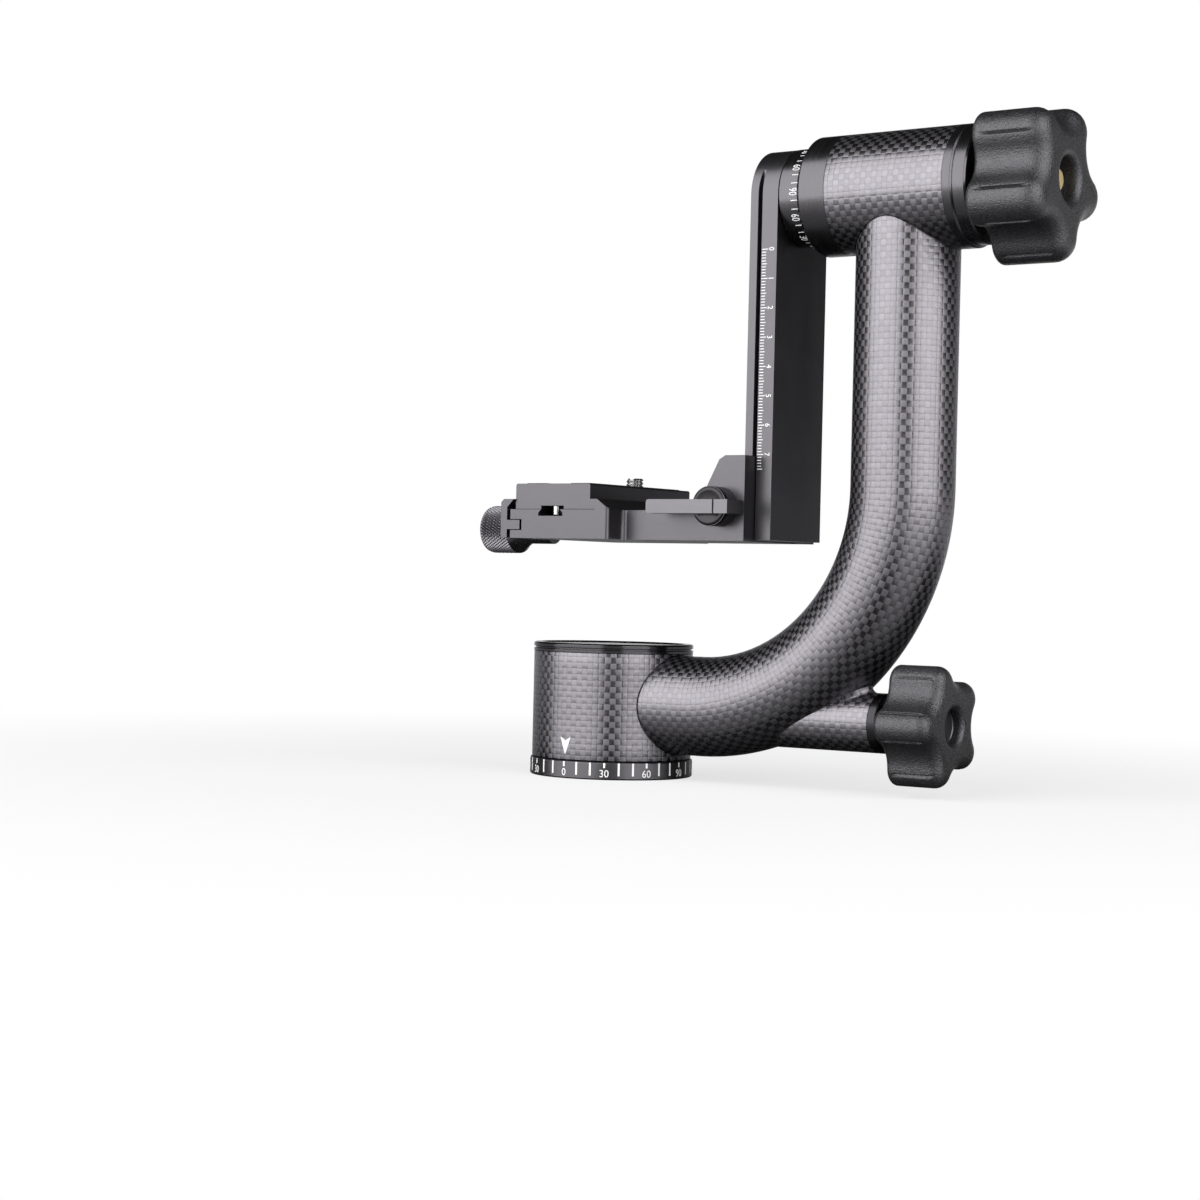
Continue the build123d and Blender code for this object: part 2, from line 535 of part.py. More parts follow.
def arm_screws():
    floor = RAIL_X + ARM_SLOT[2]
    screws = []
    for y in (-ARM_SCREW_Y, ARM_SCREW_Y):
        head = cyl_x(ARM_SCREW_HEAD_R, floor - ARM_SCREW_HEAD_T, floor, y, TILT_Z)
        head += cyl_x(ARM_SCREW_R, floor, ARM_SCREW_END, y, TILT_Z)
        for w, h in ((CROSS[0], CROSS[1]), (CROSS[1], CROSS[0])):
            head -= block(floor - ARM_SCREW_HEAD_T - CUT, floor - ARM_SCREW_HEAD_T + CROSS[2],
                          y - w / 2, y + w / 2, TILT_Z - h / 2, TILT_Z + h / 2)
        screws.append(head)
    return screws


def tilt_axle():
    body = turned_x([(ARM_X[1], 0), (ARM_X[1], AXLE_FLANGE_R), (AXLE_X[0], AXLE_FLANGE_R),
                     (AXLE_X[0], AXLE_R), (AXLE_X[1], AXLE_R), (AXLE_X[1], 0)], TILT_Z)
    for y in (-ARM_SCREW_Y, ARM_SCREW_Y):
        body -= cyl_x(ARM_SCREW_R, ARM_X[1] - CUT, ARM_SCREW_END, y, TILT_Z)
    return body


def tilt_index_ring():
    edge = INDEX_EDGE
    return turned_x([(ARM_X[1], AXLE_FLANGE_R), (ARM_X[1], INDEX_R - edge), (ARM_X[1] + edge, INDEX_R),
                     (INDEX_END_X, INDEX_R), (INDEX_END_X, AXLE_R), (AXLE_X[0], AXLE_R),
                     (AXLE_X[0], AXLE_FLANGE_R)], TILT_Z)


# ---- Height bracket ----

def height_bracket():
    """One machined piece: the rail block, the arm and the bed with its fixed jaw."""
    outline = [(BED_X[1] - CUT, BRACKET_BOTTOM), (BLOCK_X, BRACKET_BOTTOM), (BLOCK_X, BLOCK_TOP),
               BLOCK_SLANT[2], BLOCK_SLANT[1], BLOCK_SLANT[0], (BED_X[1] - CUT, BRACKET_ARM_TOP)]
    arm = plate_y(outline, BLOCK_HALF)
    rail_half = ARM_HALF + GAP
    rail = block(RAIL_X - GAP, BLOCK_X + CUT, -rail_half, rail_half, BRACKET_BOTTOM - CUT, BLOCK_TOP + CUT)
    for side in (-1, 1):
        lip = plate_z([(LIP_X, side * rail_half), (BLOCK_X, side * rail_half),
                       (BLOCK_X, side * LIP_HALF), (LIP_X + LIP_SLOPE, side * LIP_HALF)],
                      BRACKET_BOTTOM, BLOCK_TOP)
        rail -= lip
    arm -= rail
    hook = PLATE_X + PLATE_HALF + JAW_PLAY
    corner = PLATE_X + DOVETAIL_HALF + JAW_PLAY
    bed_outline = [(BED_X[0], BRACKET_BOTTOM), (BED_X[1], BRACKET_BOTTOM), FIXED_JAW_BEVEL[1],
                   FIXED_JAW_BEVEL[0], (hook + DOVETAIL_TOP_Z - JAW_TIP_Z, JAW_TIP_Z),
                   (corner, DOVETAIL_TIP_Z), (corner, BED_TOP), (BED_X[0], BED_TOP)]
    bed = plate_y(bed_outline, BED_HALF)
    edges = [e for e in bed.edges().filter_by(Axis.Z)
             if abs(e.center().X - BED_X[1]) < SLIP and abs(abs(e.center().Y) - BED_HALF) < SLIP]
    bed = fillet(edges, BED_ROUND)
    body = arm + bed
    corners = [e for e in body.edges().filter_by(Axis.Z)
               if abs(e.center().X - BED_X[1]) < SLIP and abs(abs(e.center().Y) - BLOCK_HALF) < SLIP]
    body = fillet(corners, BED_FILLET)
    half, depth, slope = BED_GROOVE
    body -= plate_y([(PLATE_X - half, BED_TOP - depth), (PLATE_X + half, BED_TOP - depth),
                     (PLATE_X + half, BED_TOP - slope), (PLATE_X + half - slope, BED_TOP),
                     (PLATE_X + half - slope, BED_TOP + SLIP), (PLATE_X - half + slope, BED_TOP + SLIP),
                     (PLATE_X - half + slope, BED_TOP), (PLATE_X - half, BED_TOP - slope)], BED_HALF + CUT)
    z0, z1 = TONGUE_Z[0] - TONGUE_PLAY, TONGUE_Z[1] + TONGUE_PLAY
    body -= block(BED_X[0] - CUT, BED_X[0] + TONGUE_POCKET, -BED_HALF - CUT, BED_HALF + CUT, z0, z1)
    for y in (-PIN_Y, PIN_Y):
        body -= cyl_x(PIN_R + SLIP, BED_X[0] - CUT, BED_X[0] + PIN_DEPTH + HOLE_RUNOUT, y, PIN_Z)
    body -= cyl_x(CLAMP_SCREW_R + SLIP, BED_X[0] - CUT, CLAMP_SCREW_END + HOLE_RUNOUT, 0, SCREW_Z)
    body -= block(SLIT_X, RAIL_X, *SLIT_Y, BRACKET_BOTTOM - CUT, BLOCK_TOP + CUT)
    return body - cyl_y(LEVER_STUD_R + SLIP, -BLOCK_HALF - CUT, LEVER_STUD_Y[1] + CUT, LEVER_X, LEVER_Z)


# ---- Lock lever ----

def lock_lever():
    x0, x1, y0, y1, z0, z1 = LEVER_BAR
    boss = cyl_y(LEVER_BOSS_R, LEVER_BOSS_Y, -BLOCK_HALF - SLIP, LEVER_X, LEVER_Z)
    bar = block(*LEVER_BAR)
    tip_edges = bar.edges().filter_by(Axis.Y).filter_by_position(Axis.X, x0 - SLIP, x0 + SLIP)
    bar = fillet(tip_edges, LEVER_BAR_ROUND)
    heel = block(LEVER_HEEL_X, x1, y0, -BLOCK_HALF - SLIP, z0, z1)
    body = boss + bar + heel
    g0, g1, depth = LEVER_GROOVE
    body -= block(g0, g1, y0 - CUT, y0 + depth, z0 - CUT, z1 + CUT)
    return body - lever_stud()


def lever_stud():
    return cyl_y(LEVER_STUD_R, *LEVER_STUD_Y, LEVER_X, LEVER_Z)


# ---- Moving jaw and its knob ----

def moving_jaw():
    hook = PLATE_X - PLATE_HALF - JAW_PLAY
    corner = JAW_FACE_X + JAW_T
    tip = hook - (DOVETAIL_TOP_Z - JAW_TIP_Z)
    body = plate_y([(JAW_FACE_X, JAW_BOTTOM), (corner, JAW_BOTTOM), (corner, DOVETAIL_TIP_Z), (tip, JAW_TIP_Z),
                    (JAW_FACE_X + JAW_CHAMFER, JAW_TIP_Z), (JAW_FACE_X, JAW_TIP_Z - JAW_CHAMFER)], BED_HALF)
    body += plate_y([(corner, TONGUE_Z[0]), (TONGUE_X, TONGUE_Z[0]), (TONGUE_X, TONGUE_Z[1]),
                     (corner, TONGUE_Z[1])], BED_HALF)
    for pin in guide_pins():
        body -= pin
    return body - cyl_x(CLAMP_SCREW_R + SLIP, JAW_FACE_X - CUT, TONGUE_X + CUT, 0, SCREW_Z)


def guide_pins():
    return [cyl_x(PIN_R, JAW_FACE_X + PIN_INSET, BED_X[0] + PIN_DEPTH, y, PIN_Z) for y in (-PIN_Y, PIN_Y)]


def clamp_knob():
    x0, x1 = KNURL_X
    body = turned_x([(x0, 0), (x0, KNURL_R - KNURL_EDGE), (x0 + KNURL_EDGE, KNURL_R), (x1, KNURL_R),
                     (KNOB_TAPER_X, KNOB_NECK_R), (JAW_FACE_X - SLIP, KNOB_NECK_R), (JAW_FACE_X - SLIP, 0)],
                    SCREW_Z)
    body -= cyl_x(VIAL_R, x0 - CUT, VIAL_X[1], 0, SCREW_Z)
    body -= clamp_screw()
    flute = Rot(45, 0, 0) * Box(x1 - x0 + 2 * CUT, FLUTE_SIDE, FLUTE_SIDE)
    for cut in around_x(Pos((x0 + x1) / 2, 0, KNURL_R + FLUTE_LIFT) * flute, KNURL_COUNT, SCREW_Z):
        body -= cut
    return body


def clamp_screw():
    return cyl_x(CLAMP_SCREW_R, VIAL_X[1] + VIAL_FLOOR, CLAMP_SCREW_END, 0, SCREW_Z)


def vial_inside():
    return cyl_x(VIAL_R - VIAL_WALL, VIAL_X[0] + VIAL_WALL, VIAL_X[1] - VIAL_WALL, 0, SCREW_Z)


def level_vial():
    return cyl_x(VIAL_R, *VIAL_X, 0, SCREW_Z) - vial_inside()


def level_bubble():
    return Pos(VIAL_X[0] + VIAL_WALL + BUBBLE_INSET, 0, SCREW_Z + BUBBLE_RISE) * Sphere(BUBBLE_R)


def level_fluid():
    return vial_inside() - level_bubble()


# ---- Quick-release plate ----

def release_plate():
    half = PLATE_LENGTH / 2
    edge = PLATE_EDGE
    corner_z = PLATE_TOP - edge
    outline = [(-DOVETAIL_HALF, PLATE_BOTTOM), (DOVETAIL_HALF, PLATE_BOTTOM), (DOVETAIL_HALF, DOVETAIL_TIP_Z),
               (PLATE_HALF, DOVETAIL_TOP_Z), (PLATE_HALF, corner_z), (PLATE_HALF - edge, PLATE_TOP),
               (-PLATE_HALF + edge, PLATE_TOP), (-PLATE_HALF, corner_z), (-PLATE_HALF, DOVETAIL_TOP_Z),
               (-DOVETAIL_HALF, DOVETAIL_TIP_Z)]
    body = plate_y([(PLATE_X + x, z) for x, z in outline], half)
    g = PLATE_GROOVE_HALF
    body -= block(PLATE_X - g, PLATE_X + g, -half - CUT, half + CUT,
                  PLATE_BOTTOM - CUT, PLATE_BOTTOM + PLATE_GROOVE_DEPTH)
    left = PLATE_X - PLATE_HALF
    body -= block(PLATE_X - DOVETAIL_HALF - CUT, left, -half - CUT, -half + PLATE_NOTCH,
                  PLATE_BOTTOM - CUT, PLATE_TOP + CUT)
    body -= long_slot(SCREW_SLOT_HALF, PLATE_BOTTOM, PLATE_TOP + CUT)
    body -= long_slot(HEAD_SLOT_HALF, PLATE_BOTTOM - CUT, HEAD_SLOT_TOP)
    for side in (-1, 1):
        body -= pad_strip(side)
        body -= cyl_z(STOP_R, PLATE_BOTTOM - CUT, STOP_Z[1], PLATE_X, side * STOP_Y)
    return body


def long_slot(half, z0, z1):
    reach = SCREW_SLOT_REACH
    slot = block(PLATE_X - half, PLATE_X + half, -reach, reach, z0, z1)
    return slot + cyl_z(half, z0, z1, PLATE_X, -reach) + cyl_z(half, z0, z1, PLATE_X, reach)


def pad_strip(side):
    half = PLATE_LENGTH / 2 - PAD_END_MARGIN
    outer = PLATE_X + side * (PLATE_HALF - PAD_MARGIN)
    inner = outer - side * PAD_WIDTH
    strip = block(min(inner, outer), max(inner, outer), -half, half,
                  PLATE_TOP - PAD_SUNK, PLATE_TOP + PAD_PROUD)
    return fillet(strip.edges().filter_by(Axis.Z), PAD_ROUND)


def plate_pads():
    return [pad_strip(side) for side in (-1, 1)]


def stop_screws():
    screws = []
    for y in (-STOP_Y, STOP_Y):
        screw = cyl_z(STOP_R, *STOP_Z, PLATE_X, y)
        screw -= Pos(PLATE_X, y, STOP_Z[0]) * extrude(RegularPolygon(STOP_KEY_R, 6), STOP_KEY_DEPTH)
        screws.append(screw)
    return screws


def camera_screw():
    y = CAMERA_SCREW_Y
    body = cyl_z(CAMERA_HEAD_R, *CAMERA_HEAD_Z, PLATE_X, y)
    stud = cyl_z(CAMERA_SCREW_R, *CAMERA_SCREW_Z, PLATE_X, y)
    stud = chamfer(stud.edges().group_by(Axis.Z)[-1], CAMERA_TIP_CHAMFER)
    stud += cyl_z(CAMERA_SHANK_R, CAMERA_HEAD_Z[1], CAMERA_SCREW_Z[0], PLATE_X, y)
    reach = CAMERA_HEAD_R + CUT
    slot = block(PLATE_X - reach, PLATE_X + reach, y - COIN_SLOT_HALF, y + COIN_SLOT_HALF,
                 CAMERA_HEAD_Z[0] - CUT, CAMERA_HEAD_Z[0] + COIN_SLOT_DEPTH)
    return body - slot + stud


def slot_slider():
    y = CAMERA_SCREW_Y
    return cyl_z(SLIDER_R, *SLIDER_Z, PLATE_X, y) - cyl_z(SLIDER_R_IN, PLATE_BOTTOM, PLATE_TOP, PLATE_X, y)


def screw_washer():
    z = CAMERA_HEAD_Z[1] + SLIP
    y = CAMERA_SCREW_Y
    washer = cyl_z(WASHER_R, z, z + WASHER_T, PLATE_X, y)
    return washer - cyl_z(WASHER_R_IN, PLATE_BOTTOM, PLATE_TOP, PLATE_X, y)


# ---- Locks that slide along X ----

def pan_brake_pad():
    pad = cyl_x(PAN_PAD_R, DRUM_R / 2, PAN_PAD_X, 0, LOCK_Z)
    return pad - cyl_z(DRUM_R + GAP, 0, CAP_TOP)


def pan_lock_rod():
    return cyl_x(ROD_R, PAN_PAD_X, PAN_ROD_END, 0, LOCK_Z)


def tilt_brake_disc():
    return cyl_x(BRAKE_R, *BRAKE_X, 0, TILT_Z)


NODES = {
    "base_ring": base_ring, "base_pad": base_pad, "tripod_insert": tripod_insert,
    "base_screws": base_screws, "spindle": spindle, "pan_inner_races": pan_inner_races,
    "brake_drum": brake_drum, "spindle_nut": spindle_nut,
    "base_shell": base_shell, "base_core": base_core, "base_cap": base_cap,
    "pan_outer_races": pan_outer_races, "pan_balls": pan_balls, "bearing_retainer": bearing_retainer,
    "arm_tube": arm_tube, "lower_plug": lower_plug, "upper_plug": upper_plug,
    "branch_tube": branch_tube, "branch_ring": branch_ring,
    "tilt_housing": tilt_housing, "tilt_sleeve": tilt_sleeve, "tilt_collar": tilt_collar,
    "tilt_end_ring": tilt_end_ring,
    "tilt_outer_races": lambda: tilt_races(TILT_RACE_OUT, TILT_SEAT_R, RACE_STAGGER, TILT_BALL_R + SLIP),
    "tilt_balls": tilt_balls,
    "swing_arm": swing_arm, "arm_screws": arm_screws, "tilt_axle": tilt_axle,
    "tilt_index_ring": tilt_index_ring,
    "tilt_inner_races": lambda: tilt_races(AXLE_R, TILT_RACE_IN, 0.0, TILT_BALL_R + GAP),
    "height_bracket": height_bracket,
    "lock_lever": lock_lever, "lever_stud": lever_stud,
    "moving_jaw": moving_jaw, "guide_pins": guide_pins,
    "clamp_knob": clamp_knob, "clamp_screw": clamp_screw,
    "level_vial": level_vial, "level_fluid": level_fluid, "level_bubble": level_bubble,
    "release_plate": release_plate, "plate_pads": plate_pads, "stop_screws": stop_screws,
    "slot_slider": slot_slider, "screw_washer": screw_washer, "camera_screw": camera_screw,
    "pan_lock_rod": pan_lock_rod, "pan_brake_pad": pan_brake_pad, "tilt_brake_disc": tilt_brake_disc,
    "tilt_knob": lambda: lobed_grip(TILT_KNOB, TILT_KNOB_ROUNDS, TILT_HUB_R, TILT_HUB_END,
                                    TILT_DISH_R, TILT_DISH_DEPTH),
    "tilt_knob_hub": lambda: knob_hub(TILT_KNOB, TILT_HUB_R, TILT_HUB_END, END_RING_X + NECK_GAP, TILT_NECK_R,
                                      TILT_STUD_R, BRAKE_X[1] + NECK_GAP),
    "tilt_knob_screw": lambda: knob_screw(TILT_KNOB, TILT_HUB_END, TILT_DISH_DEPTH),
    "pan_knob": lambda: lobed_grip(PAN_KNOB, PAN_KNOB_ROUNDS, PAN_HUB_R, PAN_HUB_END,
                                   PAN_DISH_R, PAN_DISH_DEPTH),
    "pan_knob_hub": lambda: knob_hub(PAN_KNOB, PAN_HUB_R, PAN_HUB_END, BRANCH_RING_X + NECK_GAP, PAN_NECK_R,
                                     LOCK_STUD_R, PAN_ROD_END + GAP),
    "pan_knob_screw": lambda: knob_screw(PAN_KNOB, PAN_HUB_END, PAN_DISH_DEPTH),
}

os.makedirs("parts", exist_ok=True)
for name, make in NODES.items():
    made = make()
    solids = made if isinstance(made, list) else [made]
    export_step(group(solids), f"parts/{name}.step")
    print(name, "done")
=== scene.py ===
"""Gimbal tripod head: surfaces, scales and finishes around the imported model.

Sizes in this file are in millimetres, and closed_mesh() turns them into metres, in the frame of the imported
model: +Z is up, +X points to the upright of the arm, and -Y is the side of the index arrow.
"""
import json
import math

import bmesh
import bpy
import numpy as np
from bpy.props import FloatProperty, FloatVectorProperty, PointerProperty
from mathutils import Matrix


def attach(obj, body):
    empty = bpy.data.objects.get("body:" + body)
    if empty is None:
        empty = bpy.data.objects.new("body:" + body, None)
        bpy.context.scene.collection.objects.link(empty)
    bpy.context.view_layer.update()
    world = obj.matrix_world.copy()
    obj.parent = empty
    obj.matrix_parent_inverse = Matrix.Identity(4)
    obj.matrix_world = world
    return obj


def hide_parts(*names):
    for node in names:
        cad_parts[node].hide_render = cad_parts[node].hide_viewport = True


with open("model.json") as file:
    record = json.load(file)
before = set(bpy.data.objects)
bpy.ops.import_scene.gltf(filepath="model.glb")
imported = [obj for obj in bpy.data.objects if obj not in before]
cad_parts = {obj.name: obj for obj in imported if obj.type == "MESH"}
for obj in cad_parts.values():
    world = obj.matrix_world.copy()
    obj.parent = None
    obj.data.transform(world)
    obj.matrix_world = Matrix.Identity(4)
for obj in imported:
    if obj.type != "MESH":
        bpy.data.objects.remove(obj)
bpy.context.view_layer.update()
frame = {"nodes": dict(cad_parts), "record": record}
BODY_OF = {node: body for body, nodes in frame["record"]["behaviour"]["bodies"].items() for node in nodes}

bl_info = {
    "name": "Gimbal tripod head",
    "version": (1, 0, 0),
    "blender": (4, 5, 0),
    "location": "View3D > Sidebar > Head",
    "description": "Woven tubes, lobed knobs, scales and finishes of a gimbal tripod head",
    "category": "Object",
}

TAU = 2 * math.pi

# Axes and ends that several pieces share
TUBE_Z, BEND_X, UPRIGHT_X = 26.4, 39.1, 116.6
BEND_R = UPRIGHT_X - BEND_X
BEND_Z = TUBE_Z + BEND_R
TILT_Z, LOCK_Z, SCREW_Z = 203.3, 24.1, 88.5

# Woven tubes, and the web between the branch and the bend: where its finer rows start, how deep in the bend
# it ends, the gaps that it fills and leaves open, and the angles over which it fades
SHELL_Z, SHELL_WALL = (6.6, 44.5), 2.2
HOUSING_X, HOUSING_WALL = (94.8, 138.8), 2.26
BRANCH_X, BRANCH_BORE, BRANCH_ROUND = (62.0, 110.5), 8.2, 0.5
LOCK_BORE_X = 66.6
RING_ROUND, TUBE_SINK = 0.2, 0.25
WEB_X, WEB_DEPTH, WEB_FILLED, WEB_OPEN = 98.0, 0.3, 2.6, 5.6
WEB_SIDES = math.radians(30), math.radians(80)
COLUMNS = 160

# Lobed knobs: back and front along X, height of the axis, outline (reach of a lobe's tip, reach of a waist,
# radius of a lobe), turn of the first lobe in degrees, rounds of the back and the front, hub's pocket
# (radius, end), dish (radius, depth, lip), and how far the flank grooves stay from the back and the front
TILT_KNOB = {"x": (149.0, 175.0), "z": TILT_Z, "outline": (26.6, 19.1, 8.0), "turn": 206.0,
             "rounds": (2.2, 6.5), "hub": (9.5, 160.0), "dish": (7.0, 7.0, 2.7), "groove": (4.3, 4.1)}
PAN_KNOB = {"x": (118.0, 138.2), "z": LOCK_Z, "outline": (21.0, 15.4, 6.0), "turn": 180.0,
            "rounds": (2.4, 4.6), "hub": (7.5, 127.0), "dish": (6.0, 7.0, 2.0), "groove": (3.0, 2.6)}
# Both of them: bore, edge beside the lip, corner of the dish's floor, and the flank grooves by their angle
# from the middle of a lobe, their width, and the length over which they fade at their ends
KNOB_BORE, LIP_EDGE, DISH_CORNER = 2.0, 0.3, (0.4, 0.1)
FLANK, FLANK_WIDTH, FLANK_FADE = math.radians(14.0), 0.27, 0.6

# Pieces in the dishes of the lobed knobs
BRASS_SCREW = {"radius": 3.9, "sunk": 2.0, "proud": 3.0, "round": 1.1}
KNOB_CAP = {"raised": 2.5, "height": 1.2, "dished": 0.3, "radius": 5.9, "rim": 5.3, "inner": 5.1,
            "round": 0.2}

# Clamp knob, as x and radius: the level's recess and the rim, the knurled grip, then the neck and its bore
CLAMP_RIM = [(-51.0, 0.0), (-51.0, 5.2), (-56.2, 5.2), (-56.4, 5.4), (-56.4, 7.9), (-56.1, 8.35)]
CLAMP_GRIP_X, CLAMP_GRIP_R = (-55.4, -43.9), 8.8
CLAMP_NECK = [(-43.6, 8.75), (-43.4, 8.5), (-43.1, 8.2), (-41.6, 7.0), (-39.6, 5.75), (-38.6, 5.3),
              (-37.6, 5.2), (-27.9, 5.2), (-27.72, 5.05), (-27.72, 2.5), (-49.0, 2.5), (-49.0, 0.0)]
KNURL_COUNT, KNURL_SLOPE, KNURL_WIDTH = 48, 0.62, 0.8
LEVEL_CARD_X, LEVEL_CARD_R = (-51.5, -51.1), 4.4

# Camera screw: shank from its foot to its top, stud from there to its tip, the step between them and the
# chamfer of the tip (height, radius), and the slope of the thread's flanks, which leaves its crests flat
CAMERA_SCREW_XY = -5.7, 19.5
SHANK_Z, SHANK_R = (101.4, 104.5), 2.6
STUD_TOP, STUD_R, THREAD_PITCH, THREAD_DEPTH = 108.2, 3.175, 1.27, 0.55
STUD_STEP, STUD_CHAMFER, THREAD_SLOPE = (0.05, 2.9), (0.4, 2.7), 1.15
SCREW_HEAD_TOP = 101.5

# Front of the lever's boss, as radius and place along -Y: a dish, a ring, a rounded edge and the side
BOSS_X, BOSS_Z = 59.0, 96.3
BOSS_PROFILE = [(0.0, 30.65), (1.8, 30.68), (3.4, 30.78), (4.5, 30.92), (5.1, 31.05), (5.3, 31.1),
                (5.8, 31.1), (6.2, 31.03), (6.55, 30.82), (6.8, 30.4), (6.86, 29.9), (6.86, 28.9),
                (0.0, 28.9)]

# Scales: radius, ticks from their start beside a number and elsewhere to their end, and the numbers by their
# place, height, width against height, and first step of 30 degrees. Ruler: its face, start, length in
# millimetres, ticks at every 10, 5 and 1 of them, and numbers
SUNK = 0.08
PAN_SCALE = {"radius": 29.36, "ticks": (4.3, 1.5, 6.0), "numbers": (2.3, 2.6, 0.95, 0)}
TILT_SCALE = {"radius": 17.0, "ticks": (82.9, 80.1, 83.5), "numbers": (81.0, 3.0, 0.62, 3)}
ARM_FACE_Y, RULER_X, RULER_ZERO_Z = 16.9, 69.4, 184.4
RULER_LENGTH, RULER_TICKS = 75, (2.4, 2.0, 1.6)
RULER_NUMBER_X, RULER_NUMBER, RULER_NUMBER_WIDTH = 73.2, 2.0, 0.9
ARROW_TIP_Z, ARROW_SIDE, ARROW_NOTCH, ARROW_HALF_WIDTH = 8.4, 6.3, 4.9, 2.2


# ---- Sizes and colours that a user would change ----

def length(millimetres, name, description):
    """A length property whose default is given in millimetres."""
    return FloatProperty(name=name, description=description, default=millimetres / 1000,
                         min=0.0, precision=5, subtype="DISTANCE", unit="LENGTH")


def rotation(degrees, name, description):
    """An angle property whose default is given in degrees."""
    return FloatProperty(name=name, description=description, default=math.radians(degrees),
                         subtype="ANGLE", unit="ROTATION")


def colour(rgb, name, description):
    """A colour property, in linear light."""
    return FloatVectorProperty(name=name, description=description, default=rgb, size=3,
                               min=0.0, max=1.0, subtype="COLOR")


def brightness(value, name, description):
    """A brightness property, where 1 is white."""
    return FloatProperty(name=name, description=description, default=value, min=0.0, max=20.0)


class HeadSizes(bpy.types.PropertyGroup):
    """Sizes of the woven tubes, the edges and the scales."""
    tube_radius: length(17.6, "Tube radius", "Outside radius of the U-shaped arm")
    tube_wall: length(2.2, "Tube wall", "Thickness of the arm's woven wall")
    shell_radius: length(28.74, "Shell radius", "Outside radius of the shell on the base")
    housing_radius: length(20.46, "Housing radius", "Outside radius of the tilt housing")
    branch_radius: length(10.2, "Branch radius", "Outside radius of the branch of the pan lock")
    weave_cell: length(2.05, "Weave cell", "Width of one bundle of the plain weave")
    seam: length(0.28, "Seam bead", "Radius of the resin bead where two woven tubes meet")
    bevel: length(0.3, "Edge bevel", "Width of the broken edges of the machined pieces")
    fine_bevel: length(0.15, "Fine bevel", "Width of the broken edges of rings and small pieces")
    knurl_depth: length(0.6, "Knurl depth", "Depth of the diamond knurl of the clamp knob")
    grip_groove: length(0.8, "Grip groove", "Depth of the thin grooves beside each lobe")
    paint: length(0.04, "Paint height", "How far the paint of the scales stands proud")
    pan_tick: length(0.7, "Pan tick width", "Width of the ticks on the base ring")
    tilt_tick: length(0.3, "Tilt tick width", "Width of the ticks on the tilt ring")
    ruler_tick: length(0.26, "Ruler tick width", "Width of the ticks of the ruler")


class HeadFinishes(bpy.types.PropertyGroup):
    """Colours of the finishes."""
    carbon: colour((0.2, 0.191, 0.207), "Carbon", "Fibre bundles under satin resin")
    black_metal: colour((0.105, 0.101, 0.108), "Black metal", "Black anodised aluminium")
    bare_metal: colour((0.62, 0.62, 0.63), "Bare metal", "Machined aluminium")
    steel: colour((0.5, 0.5, 0.5), "Steel", "Screws, pins and bearings")
    brass: colour((0.8, 0.62, 0.32), "Brass", "Brass screw and brake pad")
    rubber: colour((0.01, 0.0096, 0.0106), "Rubber", "Moulded rubber of the knobs")
    pad: colour((0.016, 0.016, 0.017), "Pad rubber", "Rubber strips of the plate")
    paint: colour((0.82, 0.82, 0.82), "Paint", "Filled marks of the scales")
    vial: colour((0.8, 0.95, 0.75), "Level vial", "Clear vial of the bubble level")
    fluid: colour((0.35, 0.8, 0.1), "Level fluid", "Fluid of the bubble level")
    bubble: colour((0.9, 0.98, 0.85), "Level bubble", "Bubble of the bubble level")


class HeadStudio(bpy.types.PropertyGroup):
    """Light, floor and camera."""
    softbox: brightness(3.45, "Softbox level", "Brightness of the two tall softboxes")
    fill: brightness(0.14, "Fill level", "Plain light from all round")
    floor: colour((0.72, 0.72, 0.73), "Floor", "Pale floor")
    lens: FloatProperty(name="Lens", description="Focal length of the camera", default=75.31, min=1.0,
                        unit="CAMERA")
    camera_turn: rotation(35.0, "Camera turn", "Turn of the view about the upright axis")
    camera_pitch: rotation(0.38, "Camera pitch", "How far the camera looks down")
    camera_roll: rotation(1.34, "Camera roll", "Turn of the camera about its own line of sight")
    camera_distance: length(911.21, "Camera distance", "From the camera to the plane through the pan axis")


class Millimetres:
    """Reads the lengths of a property group in millimetres."""

    def __init__(self, group):
        self._group = group

    def __getattr__(self, name):
        return getattr(self._group, name) * 1000


# ---- Surfaces ----

def stacked(*parts):
    """Arrays or numbers that broadcast together, as one array with the parts along its last axis."""
    return np.stack(np.broadcast_arrays(*parts), -1)


def grid_faces(rows, columns, close_rows, close_columns):
    """Corner numbers of the quads of a grid of points, wrapped round where a direction is closed, and the
    row and column of each corner without the wrap."""
    i = np.arange(rows if close_rows else rows - 1)[:, None]
    j = np.arange(columns if close_columns else columns - 1)[None, :]
    corners = [(i, j), (i, j + 1), (i + 1, j + 1), (i + 1, j)]
    faces = stacked(*[a % rows * columns + b % columns for a, b in corners])
    loops = np.stack([stacked(a, b) for a, b in corners], -2)
    return faces.reshape(-1, 4), loops.reshape(-1, 2)


def closed_mesh(name, points, faces, uv=None, sharp=35.0):
    """A mesh from points in millimetres: doubles are merged, faces turned outwards, and edges sharper than
    the given angle in degrees kept crisp."""
    mesh = bpy.data.meshes.new(name)
    mesh.from_pydata((points * 0.001).tolist(), [], faces)
    if uv is not None:
        layer = mesh.uv_layers.new(name="weave")
        layer.data.foreach_set("uv", uv.astype(np.float32).ravel())
    mended = bmesh.new()
    mended.from_mesh(mesh)
    bmesh.ops.remove_doubles(mended, verts=mended.verts, dist=1e-7)
    bmesh.ops.recalc_face_normals(mended, faces=mended.faces)
    mended.to_mesh(mesh)
    mended.free()
    mesh.shade_smooth()
    mesh.set_sharp_from_angle(angle=math.radians(sharp))
    return mesh


